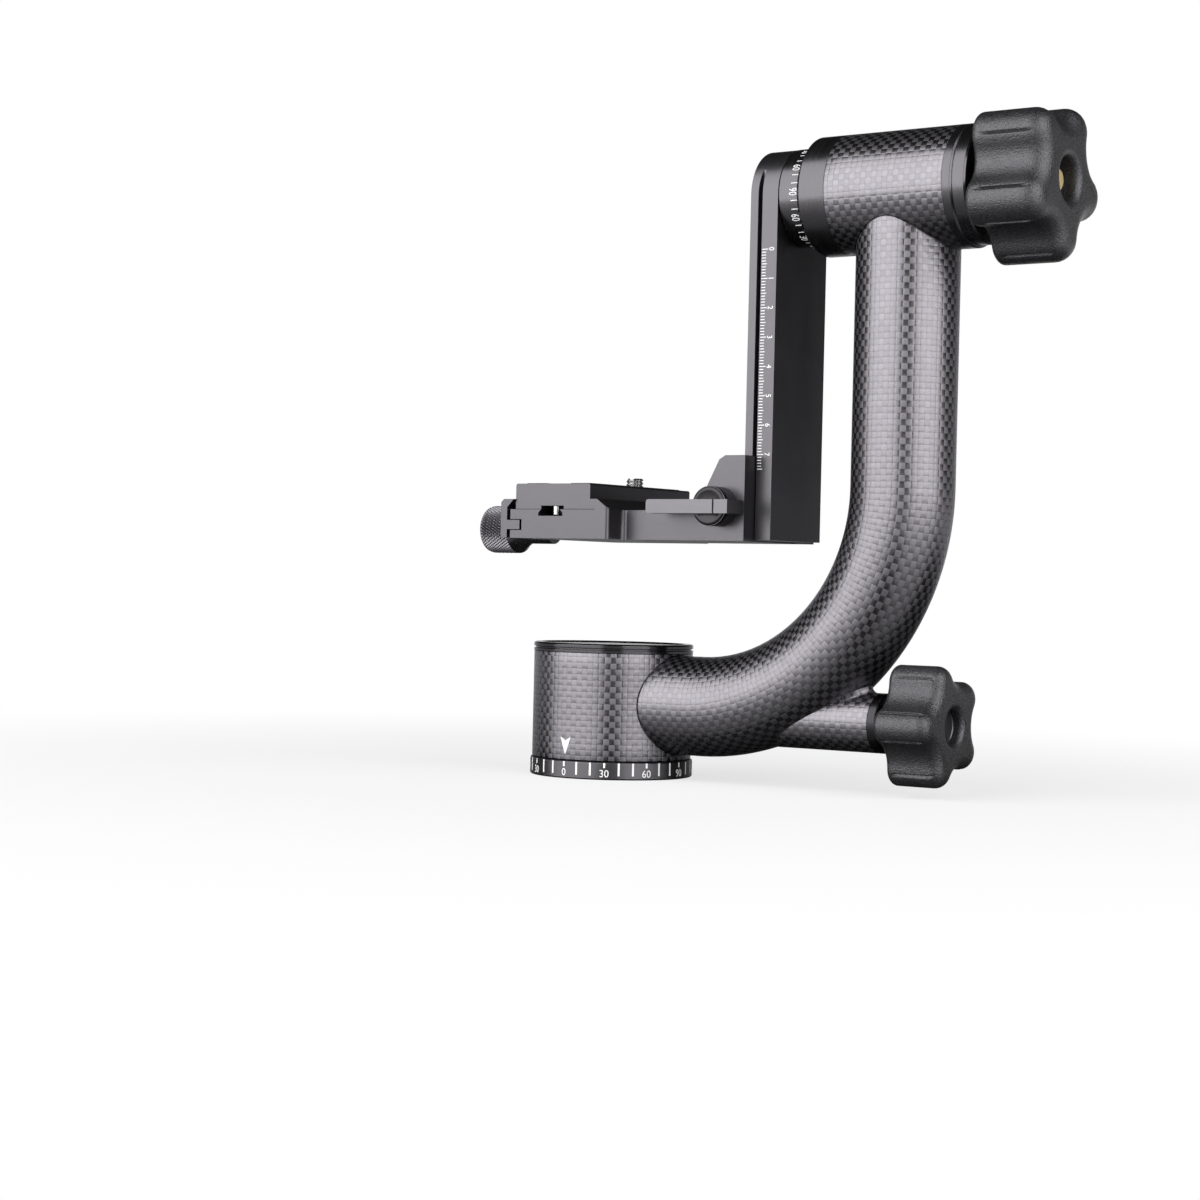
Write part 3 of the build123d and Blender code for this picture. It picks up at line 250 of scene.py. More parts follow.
def surface(name, points, uv=None, close_rows=False, close_columns=True, sharp=35.0):
    """A grid of points (rows, columns, 3) as a mesh. uv has one more row and column than a closed grid."""
    faces, loops = grid_faces(*points.shape[:2], close_rows, close_columns)
    if uv is not None:
        uv = uv[loops[:, 0], loops[:, 1]]
    return closed_mesh(name, points.reshape(-1, 3), faces.tolist(), uv, sharp)


def place(mesh, material, node=None, body=None):
    """Puts a mesh into the scene as a piece of its name. It stands for a CAD node and rides on that node's
    body, or stands for none and rides on the body given."""
    obj = bpy.data.objects.new(mesh.name, mesh)
    bpy.context.scene.collection.objects.link(obj)
    mesh.materials.clear()
    mesh.materials.append(material)
    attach(obj, body or BODY_OF[node])
    if node:
        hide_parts(node)
    return obj


def rounded(corners, radii, steps=5):
    """A closed outline with an arc at each corner. The arc's centre lies on the corner's bisector, at the
    radius over the sine of half the corner's angle, and the arc turns about it from side to side."""
    p = np.asarray(corners, float)
    r = np.asarray(radii, float)[:, None]
    a, b = np.roll(p, 1, 0) - p, np.roll(p, -1, 0) - p
    a /= np.linalg.norm(a, axis=1, keepdims=True)
    b /= np.linalg.norm(b, axis=1, keepdims=True)
    half = np.arccos(np.clip((a * b).sum(1, keepdims=True), -1, 1)) / 2
    middle = a + b
    middle /= np.maximum(np.linalg.norm(middle, axis=1, keepdims=True), 1e-9)
    centre = p + middle * r / np.sin(half)
    back = r / np.tan(half)
    start, end = p + a * back - centre, p + b * back - centre
    cross = start[:, 0] * end[:, 1] - start[:, 1] * end[:, 0]
    turn = np.arctan2(cross, (start * end).sum(1))[:, None] * np.linspace(0, 1, steps)
    x = centre[:, :1] + start[:, :1] * np.cos(turn) - start[:, 1:] * np.sin(turn)
    y = centre[:, 1:] + start[:, :1] * np.sin(turn) + start[:, 1:] * np.cos(turn)
    return stacked(x, y).reshape(-1, 2)


def full_turn(columns):
    """Evenly spaced angles round a circle, without the last, which is the first again."""
    return np.arange(columns) * TAU / columns


def about_z(along, radius, angle, centre=(0.0, 0.0)):
    """Points at a height and radius about an upright axis, with angle 0 to -Y and a quarter turn to +X."""
    return stacked(centre[0] + radius * np.sin(angle), centre[1] - radius * np.cos(angle), along)


def about_x(along, radius, angle, z=TILT_Z):
    """Points at a place and radius about an axis along X, with angle 0 to -Y and a quarter turn down."""
    return stacked(along, -radius * np.cos(angle), z - radius * np.sin(angle))


def turned(name, profile, z, **options):
    """A profile of (x, radius) pairs turned about a level axis along X at a height."""
    profile = np.asarray(profile, float)
    return surface(name, about_x(profile[:, :1], profile[:, 1:], full_turn(96), z), **options)


def disc(start, end, radius):
    """The profile of a plain disc or pin, as (x, radius) pairs."""
    return [(start, 0), (start, radius), (end, radius), (end, 0)]


def cells_round(radius, cell):
    """The even number of weave cells that comes nearest to fitting round a radius."""
    return 2 * round(TAU * radius / cell / 2)


def woven_ring(name, outer, wall, ends, cell, wrap):
    """A tube turned about its axis from a rectangle of wall by length with rounded corners. The weave's
    cells are counted round the outside and along the axis."""
    start, end = ends
    middle = [(x, outer) for x in np.linspace(start, end, 9)[1:-1]]
    corners = [(start, outer - wall), (start, outer), *middle, (end, outer), (end, outer - wall)]
    outline = rounded(corners, [RING_ROUND] * 2 + [0.0] * len(middle) + [RING_ROUND] * 2, 4)
    points = wrap(outline[:, :1], outline[:, 1:], full_turn(COLUMNS))
    u = np.linspace(0, cells_round(outer, cell), COLUMNS + 1)
    v = np.append(outline[:, 0], outline[0, 0])[:, None] / cell
    return surface(name, points, stacked(u, v), close_rows=True)


def bent_wall(radius, size):
    """The wall of the arm's tube at one radius, from the shell along X, round a quarter bend and up to the
    tilt housing. Each column ends where its line meets the shell or the housing, at the square root of
    their radius squared less the column's y squared. Returns the points and the place along the weave."""
    angle = np.linspace(0, TAU, COLUMNS + 1)
    out, y = radius * np.cos(angle), radius * np.sin(angle)
    start = np.sqrt(size.shell_radius ** 2 - y ** 2) - TUBE_SINK
    stop = TILT_Z - np.sqrt(size.housing_radius ** 2 - y ** 2) + TUBE_SINK
    run = np.linspace(0, 1, 10)[:-1, None]
    level = stacked(start + run * (BEND_X - start), y, TUBE_Z - out)
    beta = np.linspace(0, math.pi / 2, 81)[:, None]
    reach = BEND_R + out
    bend = stacked(BEND_X + reach * np.sin(beta), y, BEND_Z - reach * np.cos(beta))
    rise = np.linspace(0, 1, 14)[1:, None]
    upright = stacked(UPRIGHT_X + out, y, BEND_Z + rise * (stop - BEND_Z))
    along = np.concatenate([level[..., 0], BEND_X + BEND_R * beta + 0 * out,
                            BEND_X + BEND_R * math.pi / 2 + upright[..., 2] - BEND_Z])
    return np.concatenate([level, bend, upright]), along


def arm_tube(name, size):
    """The arm's tube: an outer and an inner bent wall joined at the ends, bored for the pan lock's rod."""
    outer, along = bent_wall(size.tube_radius, size)
    inner, inner_along = bent_wall(size.tube_radius - size.tube_wall, size)
    v = np.concatenate([along, inner_along[::-1], along[:1]]) / size.weave_cell
    u = np.linspace(0, 1, COLUMNS + 1) * cells_round(size.tube_radius, size.weave_cell)
    points = np.concatenate([outer, inner[::-1]])[:, :-1]
    blank = surface("blank", points, stacked(u, v), close_rows=True)
    return bored(blank, name, BRANCH_BORE, (LOCK_BORE_X, BRANCH_X[1]), LOCK_Z)


def seam_bead(name, centre, along, out, tube, wall, radius, sides=8):
    """A thin round bead where a tube runs into a round wall. Its line is the centre, plus the tube's radius
    times the cosine of an angle outwards and the sine along Y, plus the root of the wall's radius squared
    less y squared along the tube. Its section turns from the tube's outward direction to the wall's."""
    angle = full_turn(COLUMNS)[:, None]
    along, out, across = np.asarray(along, float), np.asarray(out, float), np.array([0.0, 1.0, 0.0])
    y = tube * np.sin(angle)
    from_tube = np.cos(angle) * out + np.sin(angle) * across
    from_wall = (np.sqrt(wall ** 2 - y ** 2) * along + y * across) / wall
    line = centre + tube * np.cos(angle) * out + wall * from_wall
    turn = full_turn(sides)[:, None]
    ring = np.cos(turn) * from_tube[:, None] + np.sin(turn) * from_wall[:, None]
    return surface(name, line[:, None] + radius * ring, close_rows=True)


def tube_entry(x, angle, tube, depth):
    """How far from the branch's axis a ray at this angle from straight up gets the given depth into the
    bend. The distance into the bend is the tube's radius less the distance to its curved centre line."""
    r = np.linspace(0, 40, 401)
    y, z = r * np.sin(angle[..., None]), LOCK_Z + r * np.cos(angle[..., None])
    ring = np.hypot(x[..., None] - BEND_X, z - BEND_Z) - BEND_R
    inside = np.hypot(ring, y) <= tube - depth
    return np.where(inside.any(-1), r[inside.argmax(-1)], 0.0)


def branch_tube(name, size):
    """The branch is a cylinder about its own axis, with a small web in the crotch under the bend. The gap
    there is the distance from the branch to where a ray enters the bend. The web fills a narrow gap, falls
    away along a quarter circle as the gap widens, and fades to the sides with a smooth step of angle."""
    radius, (start, end) = size.branch_radius, BRANCH_X
    x = np.concatenate([np.linspace(start, WEB_X, 10)[:-1], np.linspace(WEB_X, end - BRANCH_ROUND, 60),
                        [end - 0.15, end]])
    turn = np.linspace(-1, 1, 145)[:-1]
    x, angle = np.meshgrid(x, math.pi * (0.35 * turn + 0.65 * turn ** 3), indexing="ij")
    near, far = WEB_SIDES
    weight = np.clip((far - np.abs(angle)) / (far - near), 0, 1)
    weight = weight * weight * (3 - 2 * weight)
    gap = np.maximum(tube_entry(x, angle, size.tube_radius, WEB_DEPTH) - radius, 0)
    fall = 1 - np.sqrt(1 - np.clip((WEB_OPEN - gap) / (WEB_OPEN - WEB_FILLED), 0, 1) ** 2)
    r = radius + np.where(gap < WEB_FILLED, gap, WEB_FILLED * fall) * weight
    edge = np.clip(x - (end - BRANCH_ROUND), 0, BRANCH_ROUND)
    r = r - (BRANCH_ROUND - np.sqrt(BRANCH_ROUND ** 2 - edge ** 2)) * 0.8
    bore = np.full_like(r[:1], BRANCH_BORE)
    x, r = np.concatenate([x, x[-1:], x[:1]]), np.concatenate([r, bore, bore])
    angle = np.concatenate([angle, angle[:2]])
    points = stacked(x, r * np.sin(angle), LOCK_Z + r * np.cos(angle))
    u = np.append(angle, np.full((len(x), 1), math.pi), 1) / TAU * cells_round(radius, size.weave_cell)
    uv = stacked(u, np.append(x, x[:, :1], 1) / size.weave_cell)
    return surface(name, points, np.concatenate([uv, uv[:1]]), close_rows=True)


def bored(mesh, name, radius, ends, z):
    """The mesh with a round hole along X cut out of it."""
    drill = turned("drill", disc(*ends, radius), z)
    objects = [bpy.data.objects.new(m.name, m) for m in (drill, mesh)]
    for obj in objects:
        bpy.context.scene.collection.objects.link(obj)
    cut = objects[1].modifiers.new("bore", "BOOLEAN")
    cut.object, cut.operation, cut.solver = objects[0], "DIFFERENCE", "EXACT"
    whole = bpy.data.meshes.new_from_object(objects[1].evaluated_get(bpy.context.evaluated_depsgraph_get()))
    for obj, old in zip(objects, (drill, mesh)):
        bpy.data.objects.remove(obj)
        bpy.data.meshes.remove(old)
    whole.name = name
    return whole


def lobed_radius(angle, inset, tip, waist, lobe):
    """Distance from the axis to the outline of a five-lobed knob, moved in by an inset. A lobe is a circle
    about a centre at tip less lobe. A waist is a circle that touches both lobes, about a centre outside
    them. On each, the distance is the root of the circle's equation along the ray."""
    half = math.pi / 5
    phi = np.abs((angle + half) % (2 * half) - half)
    a, c = tip - lobe, math.cos(half)
    hollow = (a * a + waist * waist - 2 * a * c * waist - lobe * lobe) / (2 * (lobe + a * c - waist))
    b = waist + hollow
    near = (lobe - inset) / (lobe + hollow)
    meet = np.arctan2(b * math.sin(half) * near, a + (b * c - a) * near)
    on_lobe = a * np.cos(phi) + np.sqrt(np.maximum((lobe - inset) ** 2 - (a * np.sin(phi)) ** 2, 0))
    psi = half - phi
    on_waist = b * np.cos(psi) - np.sqrt(np.maximum((hollow + inset) ** 2 - (b * np.sin(psi)) ** 2, 0))
    return np.where(phi <= meet, on_lobe, on_waist)


def grip_rows(knob):
    """Rows of a moulded knob as x, inset, circle and share of the lobed outline, from the hub's pocket over
    the back, the side, the outer round and the lip into the dish. Rounds are quarter circles."""
    (x0, x1), (back, front) = knob["x"], knob["rounds"]
    (hub, hub_end), (dish, depth, lip), (wide, fine) = knob["hub"], knob["dish"], DISH_CORNER
    arc = np.linspace(0, math.pi / 2, 9)
    q, floor_x = arc[1:], x1 - depth

    def rows(x, inset, circle, lobed):
        return stacked(x, inset, circle, lobed).reshape(-1, 4)

    return np.concatenate([
        rows(hub_end, 0, [KNOB_BORE, hub], 0),
        rows(x0, [back + 3, back + 1.5, back], hub, [0, 0.6, 1]),
        rows(x0 + back * (1 - np.cos(q)), back * (1 - np.sin(q)), 0, 1),
        rows(np.linspace(x0 + back, x1 - front, 14)[1:], 0, 0, 1),
        rows(x1 - front + front * np.sin(q), front * (1 - np.cos(q)), 0, 1),
        rows(x1, front, dish + lip + LIP_EDGE, [0.75, 0.5, 0.25, 0]),
        rows(x1 - lip + lip * np.cos(arc), 0, dish + lip - lip * np.sin(arc), 0),
        rows([floor_x + wide, floor_x + fine, floor_x], 0, [dish, dish - fine, dish - wide], 0),
        rows(floor_x, 0, KNOB_BORE, 0)])


def grip(name, knob, groove):
    """A moulded knob. Each row's radius is a mixture of a circle and the lobed outline moved in by the
    row's inset. A thin groove, a bell curve of the distance from a set angle, runs along each flank."""
    x, inset, circle, lobed = grip_rows(knob).T[..., None]
    half = math.pi / 5
    low, high = FLANK - 0.05, FLANK + 0.05
    side = np.concatenate([np.linspace(0, low, 8)[:-1], np.linspace(low, high, 15),
                           np.linspace(high, half, 12)[1:]])
    side = np.concatenate([side, 2 * half - side[-2:0:-1]])
    turn = (side + 2 * half * np.arange(5)[:, None]).ravel()
    r = lobed * lobed_radius(turn, inset, *knob["outline"]) + (1 - lobed) * circle
    phi = np.abs((turn + half) % (2 * half) - half)
    waist = knob["outline"][1]
    bell = np.exp(-(((phi - FLANK) * waist / FLANK_WIDTH) ** 2))
    (x0, x1), (from_back, from_front) = knob["x"], knob["groove"]
    at_back, at_front = np.clip([x - x0 - from_back, x1 - from_front - x], 0, FLANK_FADE) / FLANK_FADE
    r = r - groove * bell * (at_back * at_front) * (lobed == 1)
    angle = turn + math.radians(knob["turn"])
    points = stacked(x, r * np.cos(angle), knob["z"] + r * np.sin(angle))
    return surface(name, points, close_rows=True, sharp=40.0)


def knurled_knob(name, depth):
    """The clamp knob, turned about its axis. On the grip, two families of V grooves run round it as
    opposite helices, and the radius drops by the depth where the nearer groove's middle is closer than a
    set share of the pitch."""
    grip_x = np.linspace(*CLAMP_GRIP_X, 92)
    on_grip = np.repeat([0, 1, 0], [len(CLAMP_RIM), len(grip_x), len(CLAMP_NECK)])[:, None]
    rows = np.concatenate([CLAMP_RIM, stacked(grip_x, CLAMP_GRIP_R), CLAMP_NECK])
    angle = full_turn(KNURL_COUNT * 8)
    turn = angle / TAU * KNURL_COUNT
    along = rows[:, :1] * KNURL_COUNT / (TAU * CLAMP_GRIP_R) * KNURL_SLOPE
    near = np.minimum(np.abs((turn + along + 0.5) % 1 - 0.5), np.abs((turn - along + 0.5) % 1 - 0.5)) * 2
    radius = rows[:, 1:] - depth * np.clip(1 - near / KNURL_WIDTH, 0, 1) * on_grip
    return surface(name, about_x(rows[:, :1], radius, angle, SCREW_Z), sharp=50.0)


def threaded_stud(name):
    """The camera screw above its head: a shank, then a stud whose radius falls with the distance from the
    crest of a helix, and a chamfered tip."""
    (foot, neck), (step, step_r), (tip, tip_r) = SHANK_Z, STUD_STEP, STUD_CHAMFER
    thread_z = np.linspace(neck + step, STUD_TOP - tip, 60)
    z = np.concatenate([[foot, foot, neck - step, neck], thread_z, [STUD_TOP, STUD_TOP]])
    r = np.concatenate([[0.0, SHANK_R, SHANK_R, step_r], np.full(len(thread_z), STUD_R), [tip_r, 0.0]])
    threaded = np.repeat([0, 1, 0], [4, len(thread_z), 2])[:, None]
    angle = full_turn(64)
    wave = np.abs(((z[:, None] / THREAD_PITCH - angle / TAU) + 0.5) % 1 - 0.5) * 2
    radius = r[:, None] - THREAD_DEPTH * (1 - np.clip(wave * THREAD_SLOPE, 0, 1)) * threaded
    return surface(name, about_z(z[:, None], radius, angle, CAMERA_SCREW_XY))


# ---- Copies of the machined nodes, with broken edges ----

def merged_copy(node, name, below=None):
    """A CAD node's mesh as one closed skin with flat faces joined, cut off above a height if one is given."""
    mesh = frame["nodes"][node].data.copy()
    mesh.name = name
    skin = bmesh.new()
    skin.from_mesh(mesh)
    bmesh.ops.remove_doubles(skin, verts=skin.verts, dist=1e-6)
    if below is not None:
        parts = skin.verts[:] + skin.edges[:] + skin.faces[:]
        bmesh.ops.bisect_plane(skin, geom=parts, plane_co=(0, 0, below / 1000), plane_no=(0, 0, 1),
                               clear_outer=True)
        bmesh.ops.holes_fill(skin, edges=[e for e in skin.edges if e.is_boundary])
    bmesh.ops.dissolve_limit(skin, angle_limit=math.radians(0.4), verts=skin.verts, edges=skin.edges)
    skin.to_mesh(mesh)
    skin.free()
    if "custom_normal" in mesh.attributes:
        mesh.attributes.remove(mesh.attributes["custom_normal"])
    mesh.shade_smooth()
    mesh.set_sharp_from_angle(angle=math.radians(24))
    return mesh


def machined(node, name, material, width, below=None):
    """A bevelled copy of a machined node, which stands for it."""
    obj = place(merged_copy(node, name, below), material, node)
    edges = obj.modifiers.new("broken edges", "BEVEL")
    edges.width = width
    edges.segments = 2
    edges.limit_method = "ANGLE"
    edges.angle_limit = math.radians(32)
    edges.use_clamp_overlap = True
    edges.harden_normals = True


# ---- Scales ----

def ticks(at, start, end, wide, proud):
    """Boxes of a width at places along a scale, each from its start to its end, as points and faces."""
    low, high = stacked(at - wide / 2, start, -SUNK), stacked(at + wide / 2, end, proud)
    pick = np.array([[x, y, z] for x in (0, 1) for y in (0, 1) for z in (0, 1)])
    points = low[:, None] + pick * (high - low)[:, None]
    sides = np.array([[0, 1, 3, 2], [4, 6, 7, 5], [0, 4, 5, 1], [2, 3, 7, 6], [0, 2, 6, 4], [1, 5, 7, 3]])
    faces = sides + 8 * np.arange(len(at))[:, None, None]
    return points.reshape(-1, 3), faces.reshape(-1, 4).tolist()


def numeral(text, height, width, proud):
    """A number as a thin solid, centred at the origin, with its top along +Y and its face along +Z. Its
    width follows from its height, times a share."""
    curve = bpy.data.curves.new("numeral", "FONT")
    curve.body, curve.extrude, curve.resolution_u = text, 0.02, 3
    obj = bpy.data.objects.new("numeral", curve)
    bpy.context.scene.collection.objects.link(obj)
    mesh = bpy.data.meshes.new_from_object(obj.evaluated_get(bpy.context.evaluated_depsgraph_get()))
    points = np.zeros(len(mesh.vertices) * 3, np.float32)
    mesh.vertices.foreach_get("co", points)
    points = points.reshape(-1, 3).astype(float)
    faces = [list(p.vertices) for p in mesh.polygons]
    bpy.data.objects.remove(obj)
    bpy.data.meshes.remove(mesh)
    bpy.data.curves.remove(curve)
    low, high = points.min(0), points.max(0)
    tall = height / (high[1] - low[1])
    points = (points - (low + high) / 2) * [tall * width, tall, 1]
    points[:, 2] = np.where(points[:, 2] > 0, proud, -SUNK)
    return points, faces


def marks(name, body, parts, wrap, material):
    """Ticks and numerals, laid flat as (right, up, out) and carried onto a face by wrap, as one piece."""
    first = np.cumsum([0] + [len(points) for points, _ in parts])
    faces = [[start + k for k in face] for start, (_, part) in zip(first.tolist(), parts) for face in part]
    points = np.concatenate([points for points, _ in parts])
    place(closed_mesh(name, wrap(*points.T), faces, sharp=30.0), material, body=body)


# ---- Shader maths ----

class Wire:
    """One output socket in a node tree. Arithmetic on it adds Math nodes."""

    def __init__(self, tree, socket=None):
        self.tree, self.socket = tree, socket

    def add(self, kind, settings=None, sockets=None, out=0):
        """Makes a node, sets its settings, then its sockets from values or wires, and returns an output."""
        node = self.tree.nodes.new(kind)
        for name, value in (settings or {}).items():
            setattr(node, name, value)
        for name, value in (sockets or {}).items():
            if isinstance(value, Wire):
                self.tree.links.new(value.socket, node.inputs[name])
            else:
                node.inputs[name].default_value = value
        return Wire(self.tree, node.outputs[out] if node.outputs else None)

    def other(self, out):
        """Another output of the same node."""
        return Wire(self.tree, self.socket.node.outputs[out])

    def math(self, operation, *values):
        return self.add("ShaderNodeMath", {"operation": operation}, dict(enumerate(values)))

    def __add__(self, other):
        return self.math("ADD", self, other)

    def __sub__(self, other):
        return self.math("SUBTRACT", self, other)

    def __rsub__(self, other):
        return self.math("SUBTRACT", other, self)

    def __mul__(self, other):
        return self.math("MULTIPLY", self, other)

    __radd__, __rmul__ = __add__, __mul__

    def floor(self):
        return self.math("FLOOR", self)

    def part(self):
        return self.math("FRACT", self)

    def maximum(self, other):
        return self.math("MAXIMUM", self, other)

    def between(self, low, high):
        """0 below low, 1 above high, and smooth from one to the other."""
        return self.add("ShaderNodeMapRange", {"interpolation_type": "SMOOTHSTEP"},
                        {"Value": self, "From Min": low, "From Max": high}, "Result")

    def choose(self, one, other):
        """one where this wire is 0, other where it is 1."""
        return one + self * (other - one)

    def tint(self, one, other):
        """A mix of two colours by this wire."""
        return self.add("ShaderNodeMix", {"data_type": "RGBA"},
                        {0: self, 6: (*one, 1.0), 7: (*other, 1.0)}, 2)

    def shades(self, rgb, low, high):
        """A colour times a share that this wire moves from low to high."""
        return self.tint([c * low for c in rgb], [min(c * high, 1) for c in rgb])

    def xyz(self):
        parts = self.add("ShaderNodeSeparateXYZ", None, {"Vector": self})
        return [parts.other(k) for k in range(3)]

    def vector(self, x, y, z):
        return self.add("ShaderNodeCombineXYZ", None, {"X": x, "Y": y, "Z": z})

    def stretched(self, scale):
        """The place with each direction scaled, for grain that runs along one of them."""
        return self.add("ShaderNodeMapping", None, {"Vector": self, "Scale": scale})

    def noise(self, scale, detail=2.0, rough=0.5):
        """Noise at this place."""
        return self.add("ShaderNodeTexNoise", {"noise_dimensions": "3D"},
                        {"Vector": self, "Scale": scale, "Detail": detail, "Roughness": rough}, "Fac")

    def bump(self, distance, strength=1.0):
        """A bump whose height of 1 stands out by a distance in millimetres."""
        return self.add("ShaderNodeBump", None,
                        {"Height": self, "Distance": distance / 1000, "Strength": strength})


def fresh_tree(holder):
    """The emptied node tree of a material or a world, as a wire to build on."""
    holder.use_nodes = True
    holder.node_tree.nodes.clear()
    return Wire(holder.node_tree)


def finish(name, build, **fixed):
    """A material: build gets a wire with the place on the object and returns what varies, and fixed holds
    what is the same all over, set on the shader's own sockets."""
    material = bpy.data.materials.new(name)
    wire = fresh_tree(material)
    sockets = {k.replace("_", " "): v for k, v in fixed.items()}
    sockets.update(build(wire.add("ShaderNodeTexCoord", out="Object")))
    shader = wire.add("ShaderNodeBsdfPrincipled", None, sockets)
    wire.add("ShaderNodeOutputMaterial", None, {"Surface": shader})
    return material


def carbon_finish(rgb):
    """Plain weave: cells of one kind run along the tube and the others round it. Each bundle is crowned
    across its fibres and dips at its ends. Fine lines follow the fibres. The bundles along the tube scatter
    more, and their tone is painted lighter to make up for their dimmer highlight. The bundles' ends and the
    cells' corners are painted darker, as painted shade where the bundles dip."""
    def build(spot):
        u, v, _ = spot.add("ShaderNodeUVMap", {"uv_map": "weave"}).xyz()
        lengthwise = ((u.floor() + v.floor()) * 0.5).part() * 2
        across, along = u.part() - 0.5, v.part() - 0.5
        crown = 1 - 4 * across * across * lengthwise - 4 * along * along * (1 - lengthwise)
        end = lengthwise.choose(across, along)
        end = 16 * end * end * end * end
        height = crown * 0.6 + (1 - end) * 0.4
        strands = spot.vector(u * lengthwise.choose(1.2, 11.0), v * lengthwise.choose(11.0, 1.2), 0.0)
        fibres = strands.noise(1.0, 2.0, 0.7)
        patch = spot.vector(u.floor() * 7.3, v.floor() * 5.1, 0.5).noise(1.0, 0.0)
        # Painted shade: the tone darkens at the ends of each bundle and at the cells' corners, where the
        # bundles dip
        gap = end.between(0.75, 1.0)
        corner = (across * across + along * along).between(0.14, 0.42)
        # Painted highlight: the bundles along the tube get a lighter tone to make up for their rougher,
        # dimmer reflection
        shade = (fibres - 0.5) * 0.55 + (patch - 0.5) * 0.2 + lengthwise * 0.36 + 0.9
        tone = ((shade - 0.5) * (1 - gap * 0.35) * (1 - corner * 0.2)).shades(rgb, 0.45, 1.35)
        rough = lengthwise.choose(0.25, 0.43) + (fibres - 0.5) * 0.14 + gap * 0.05
        return {"Base Color": tone, "Roughness": rough,
                "Normal": (height * 0.75 + fibres * 0.25).bump(0.12, 0.8)}
    # The dark edge tint dims reflections at grazing angles, a painted shade along the rims
    return finish("woven carbon", build, Metallic=1.0, Specular_Tint=(0.7, 0.7, 0.72, 1.0))


def black_metal_finish(name, rgb, grain, rough, depth):
    """Black anodised metal with fine grain, scaled in each direction, and faint cloudiness of the dye."""
    def build(spot):
        fine = spot.stretched(grain).noise(1.0, 3.0, 0.6)
        cloud = spot.noise(60.0)
        return {"Base Color": (cloud * 0.5 + fine * 0.5).shades(rgb, 0.8, 1.2),
                "Roughness": rough + (fine - 0.5) * 0.22 + (cloud - 0.5) * 0.06, "Normal": fine.bump(depth)}
    # The dark edge tint dims reflections at grazing angles, a painted shade along the rims
    return finish(name, build, Metallic=0.97, Specular_Tint=(0.6, 0.6, 0.62, 1.0))


def metal_finish(name, rgb, rough, metallic=1.0):
    """Turned or ground bare metal: fine grain in its tone, gloss and height."""
    def build(spot):
        fine = spot.stretched((900.0, 900.0, 900.0)).noise(1.0, 3.0, 0.6)
        return {"Base Color": fine.shades(rgb, 0.82, 1.12), "Roughness": rough + (fine - 0.5) * 0.2,
                "Normal": fine.bump(0.004)}
    return finish(name, build, Metallic=metallic)


def rubber_finish(name, rgb, rough, scale, depth):
    """Moulded rubber: pebbled grain from rounded cells with fine noise, and a slight bloom in its tone."""
    def build(spot):
        cell = spot.add("ShaderNodeTexVoronoi", {"feature": "F1"}, {"Vector": spot, "Scale": scale},
                        "Distance")
        fine = spot.noise(scale * 1.3, 2.0, 0.6).between(0.25, 0.75)
        bloom = spot.noise(90.0, 3.0, 0.6)
        return {"Base Color": (bloom * 0.4 + fine * 0.6).shades(rgb, 0.4, 2.0),
                "Roughness": rough + (bloom - 0.5) * 0.12 + (fine - 0.5) * 0.28,
                "Normal": ((1 - cell) * 0.6 + fine * 0.4).bump(depth)}
    return finish(name, build, Specular_IOR_Level=0.85, Specular_Tint=(0.96, 0.95, 1.0, 1.0))


def paint_finish(name, rgb):
    """Filled enamel with slight dirt and a matt skin."""
    def build(spot):
        dirt = spot.noise(1500.0, 3.0, 0.6)
        return {"Base Color": dirt.shades(rgb, 0.86, 1.0), "Roughness": 0.45 + dirt * 0.2,
                "Normal": dirt.bump(0.01)}
    return finish(name, build)


def clear_finish(name, rgb, rough, alpha):
    """Clear plastic or tinted fluid: thin enough to see through without bending the view, and glossy."""
    def build(spot):
        haze = spot.noise(500.0)
        return {"Base Color": haze.shades(rgb, 0.95, 1.0), "Roughness": rough + haze * 0.04}
    return finish(name, build, Alpha=alpha)


# Black finishes: name, share of the black's brightness, grain, roughness, height of the grain. A grain is
# so many noise cells to the metre in each direction.
FINE, TURNED = (1500.0, 1500.0, 1500.0), (3000.0, 30.0, 30.0)
UPRIGHT, ALONG = (3600.0, 3600.0, 110.0), (120.0, 3600.0, 3600.0)
BLACKS = {
    "black": ("black anodised metal", 1.0, FINE, 0.36, 0.012),
    "brushed": ("black metal brushed upright", 1.0, UPRIGHT, 0.35, 0.008),
    # Painted shade: the turned rings take a slightly darker copy of the black, which deepens their dark sides
    "turned": ("black metal turned", 0.9, TURNED, 0.26, 0.002),
    # Painted highlight: the lever's copy is painted lighter than the other black metal, so its bar reads as
    # lit
    "lever": ("brushed lever", 1.3, ALONG, 0.33, 0.006),
    # Painted highlight: the knurled knob's copy is painted much lighter, so its ridges read as lit
    "knurl": ("black metal knurled", 1.7, FINE, 0.24, 0.006),
    "gloss": ("black metal polished", 0.6, FINE, 0.15, 0.002),
    # A much darker copy: dark resin in the seam beads, and painted shade on the branch ring and the lever's
    # boss
    "resin": ("seam resin", 0.35, FINE, 0.25, 0.006),
}
FINISHES = {}


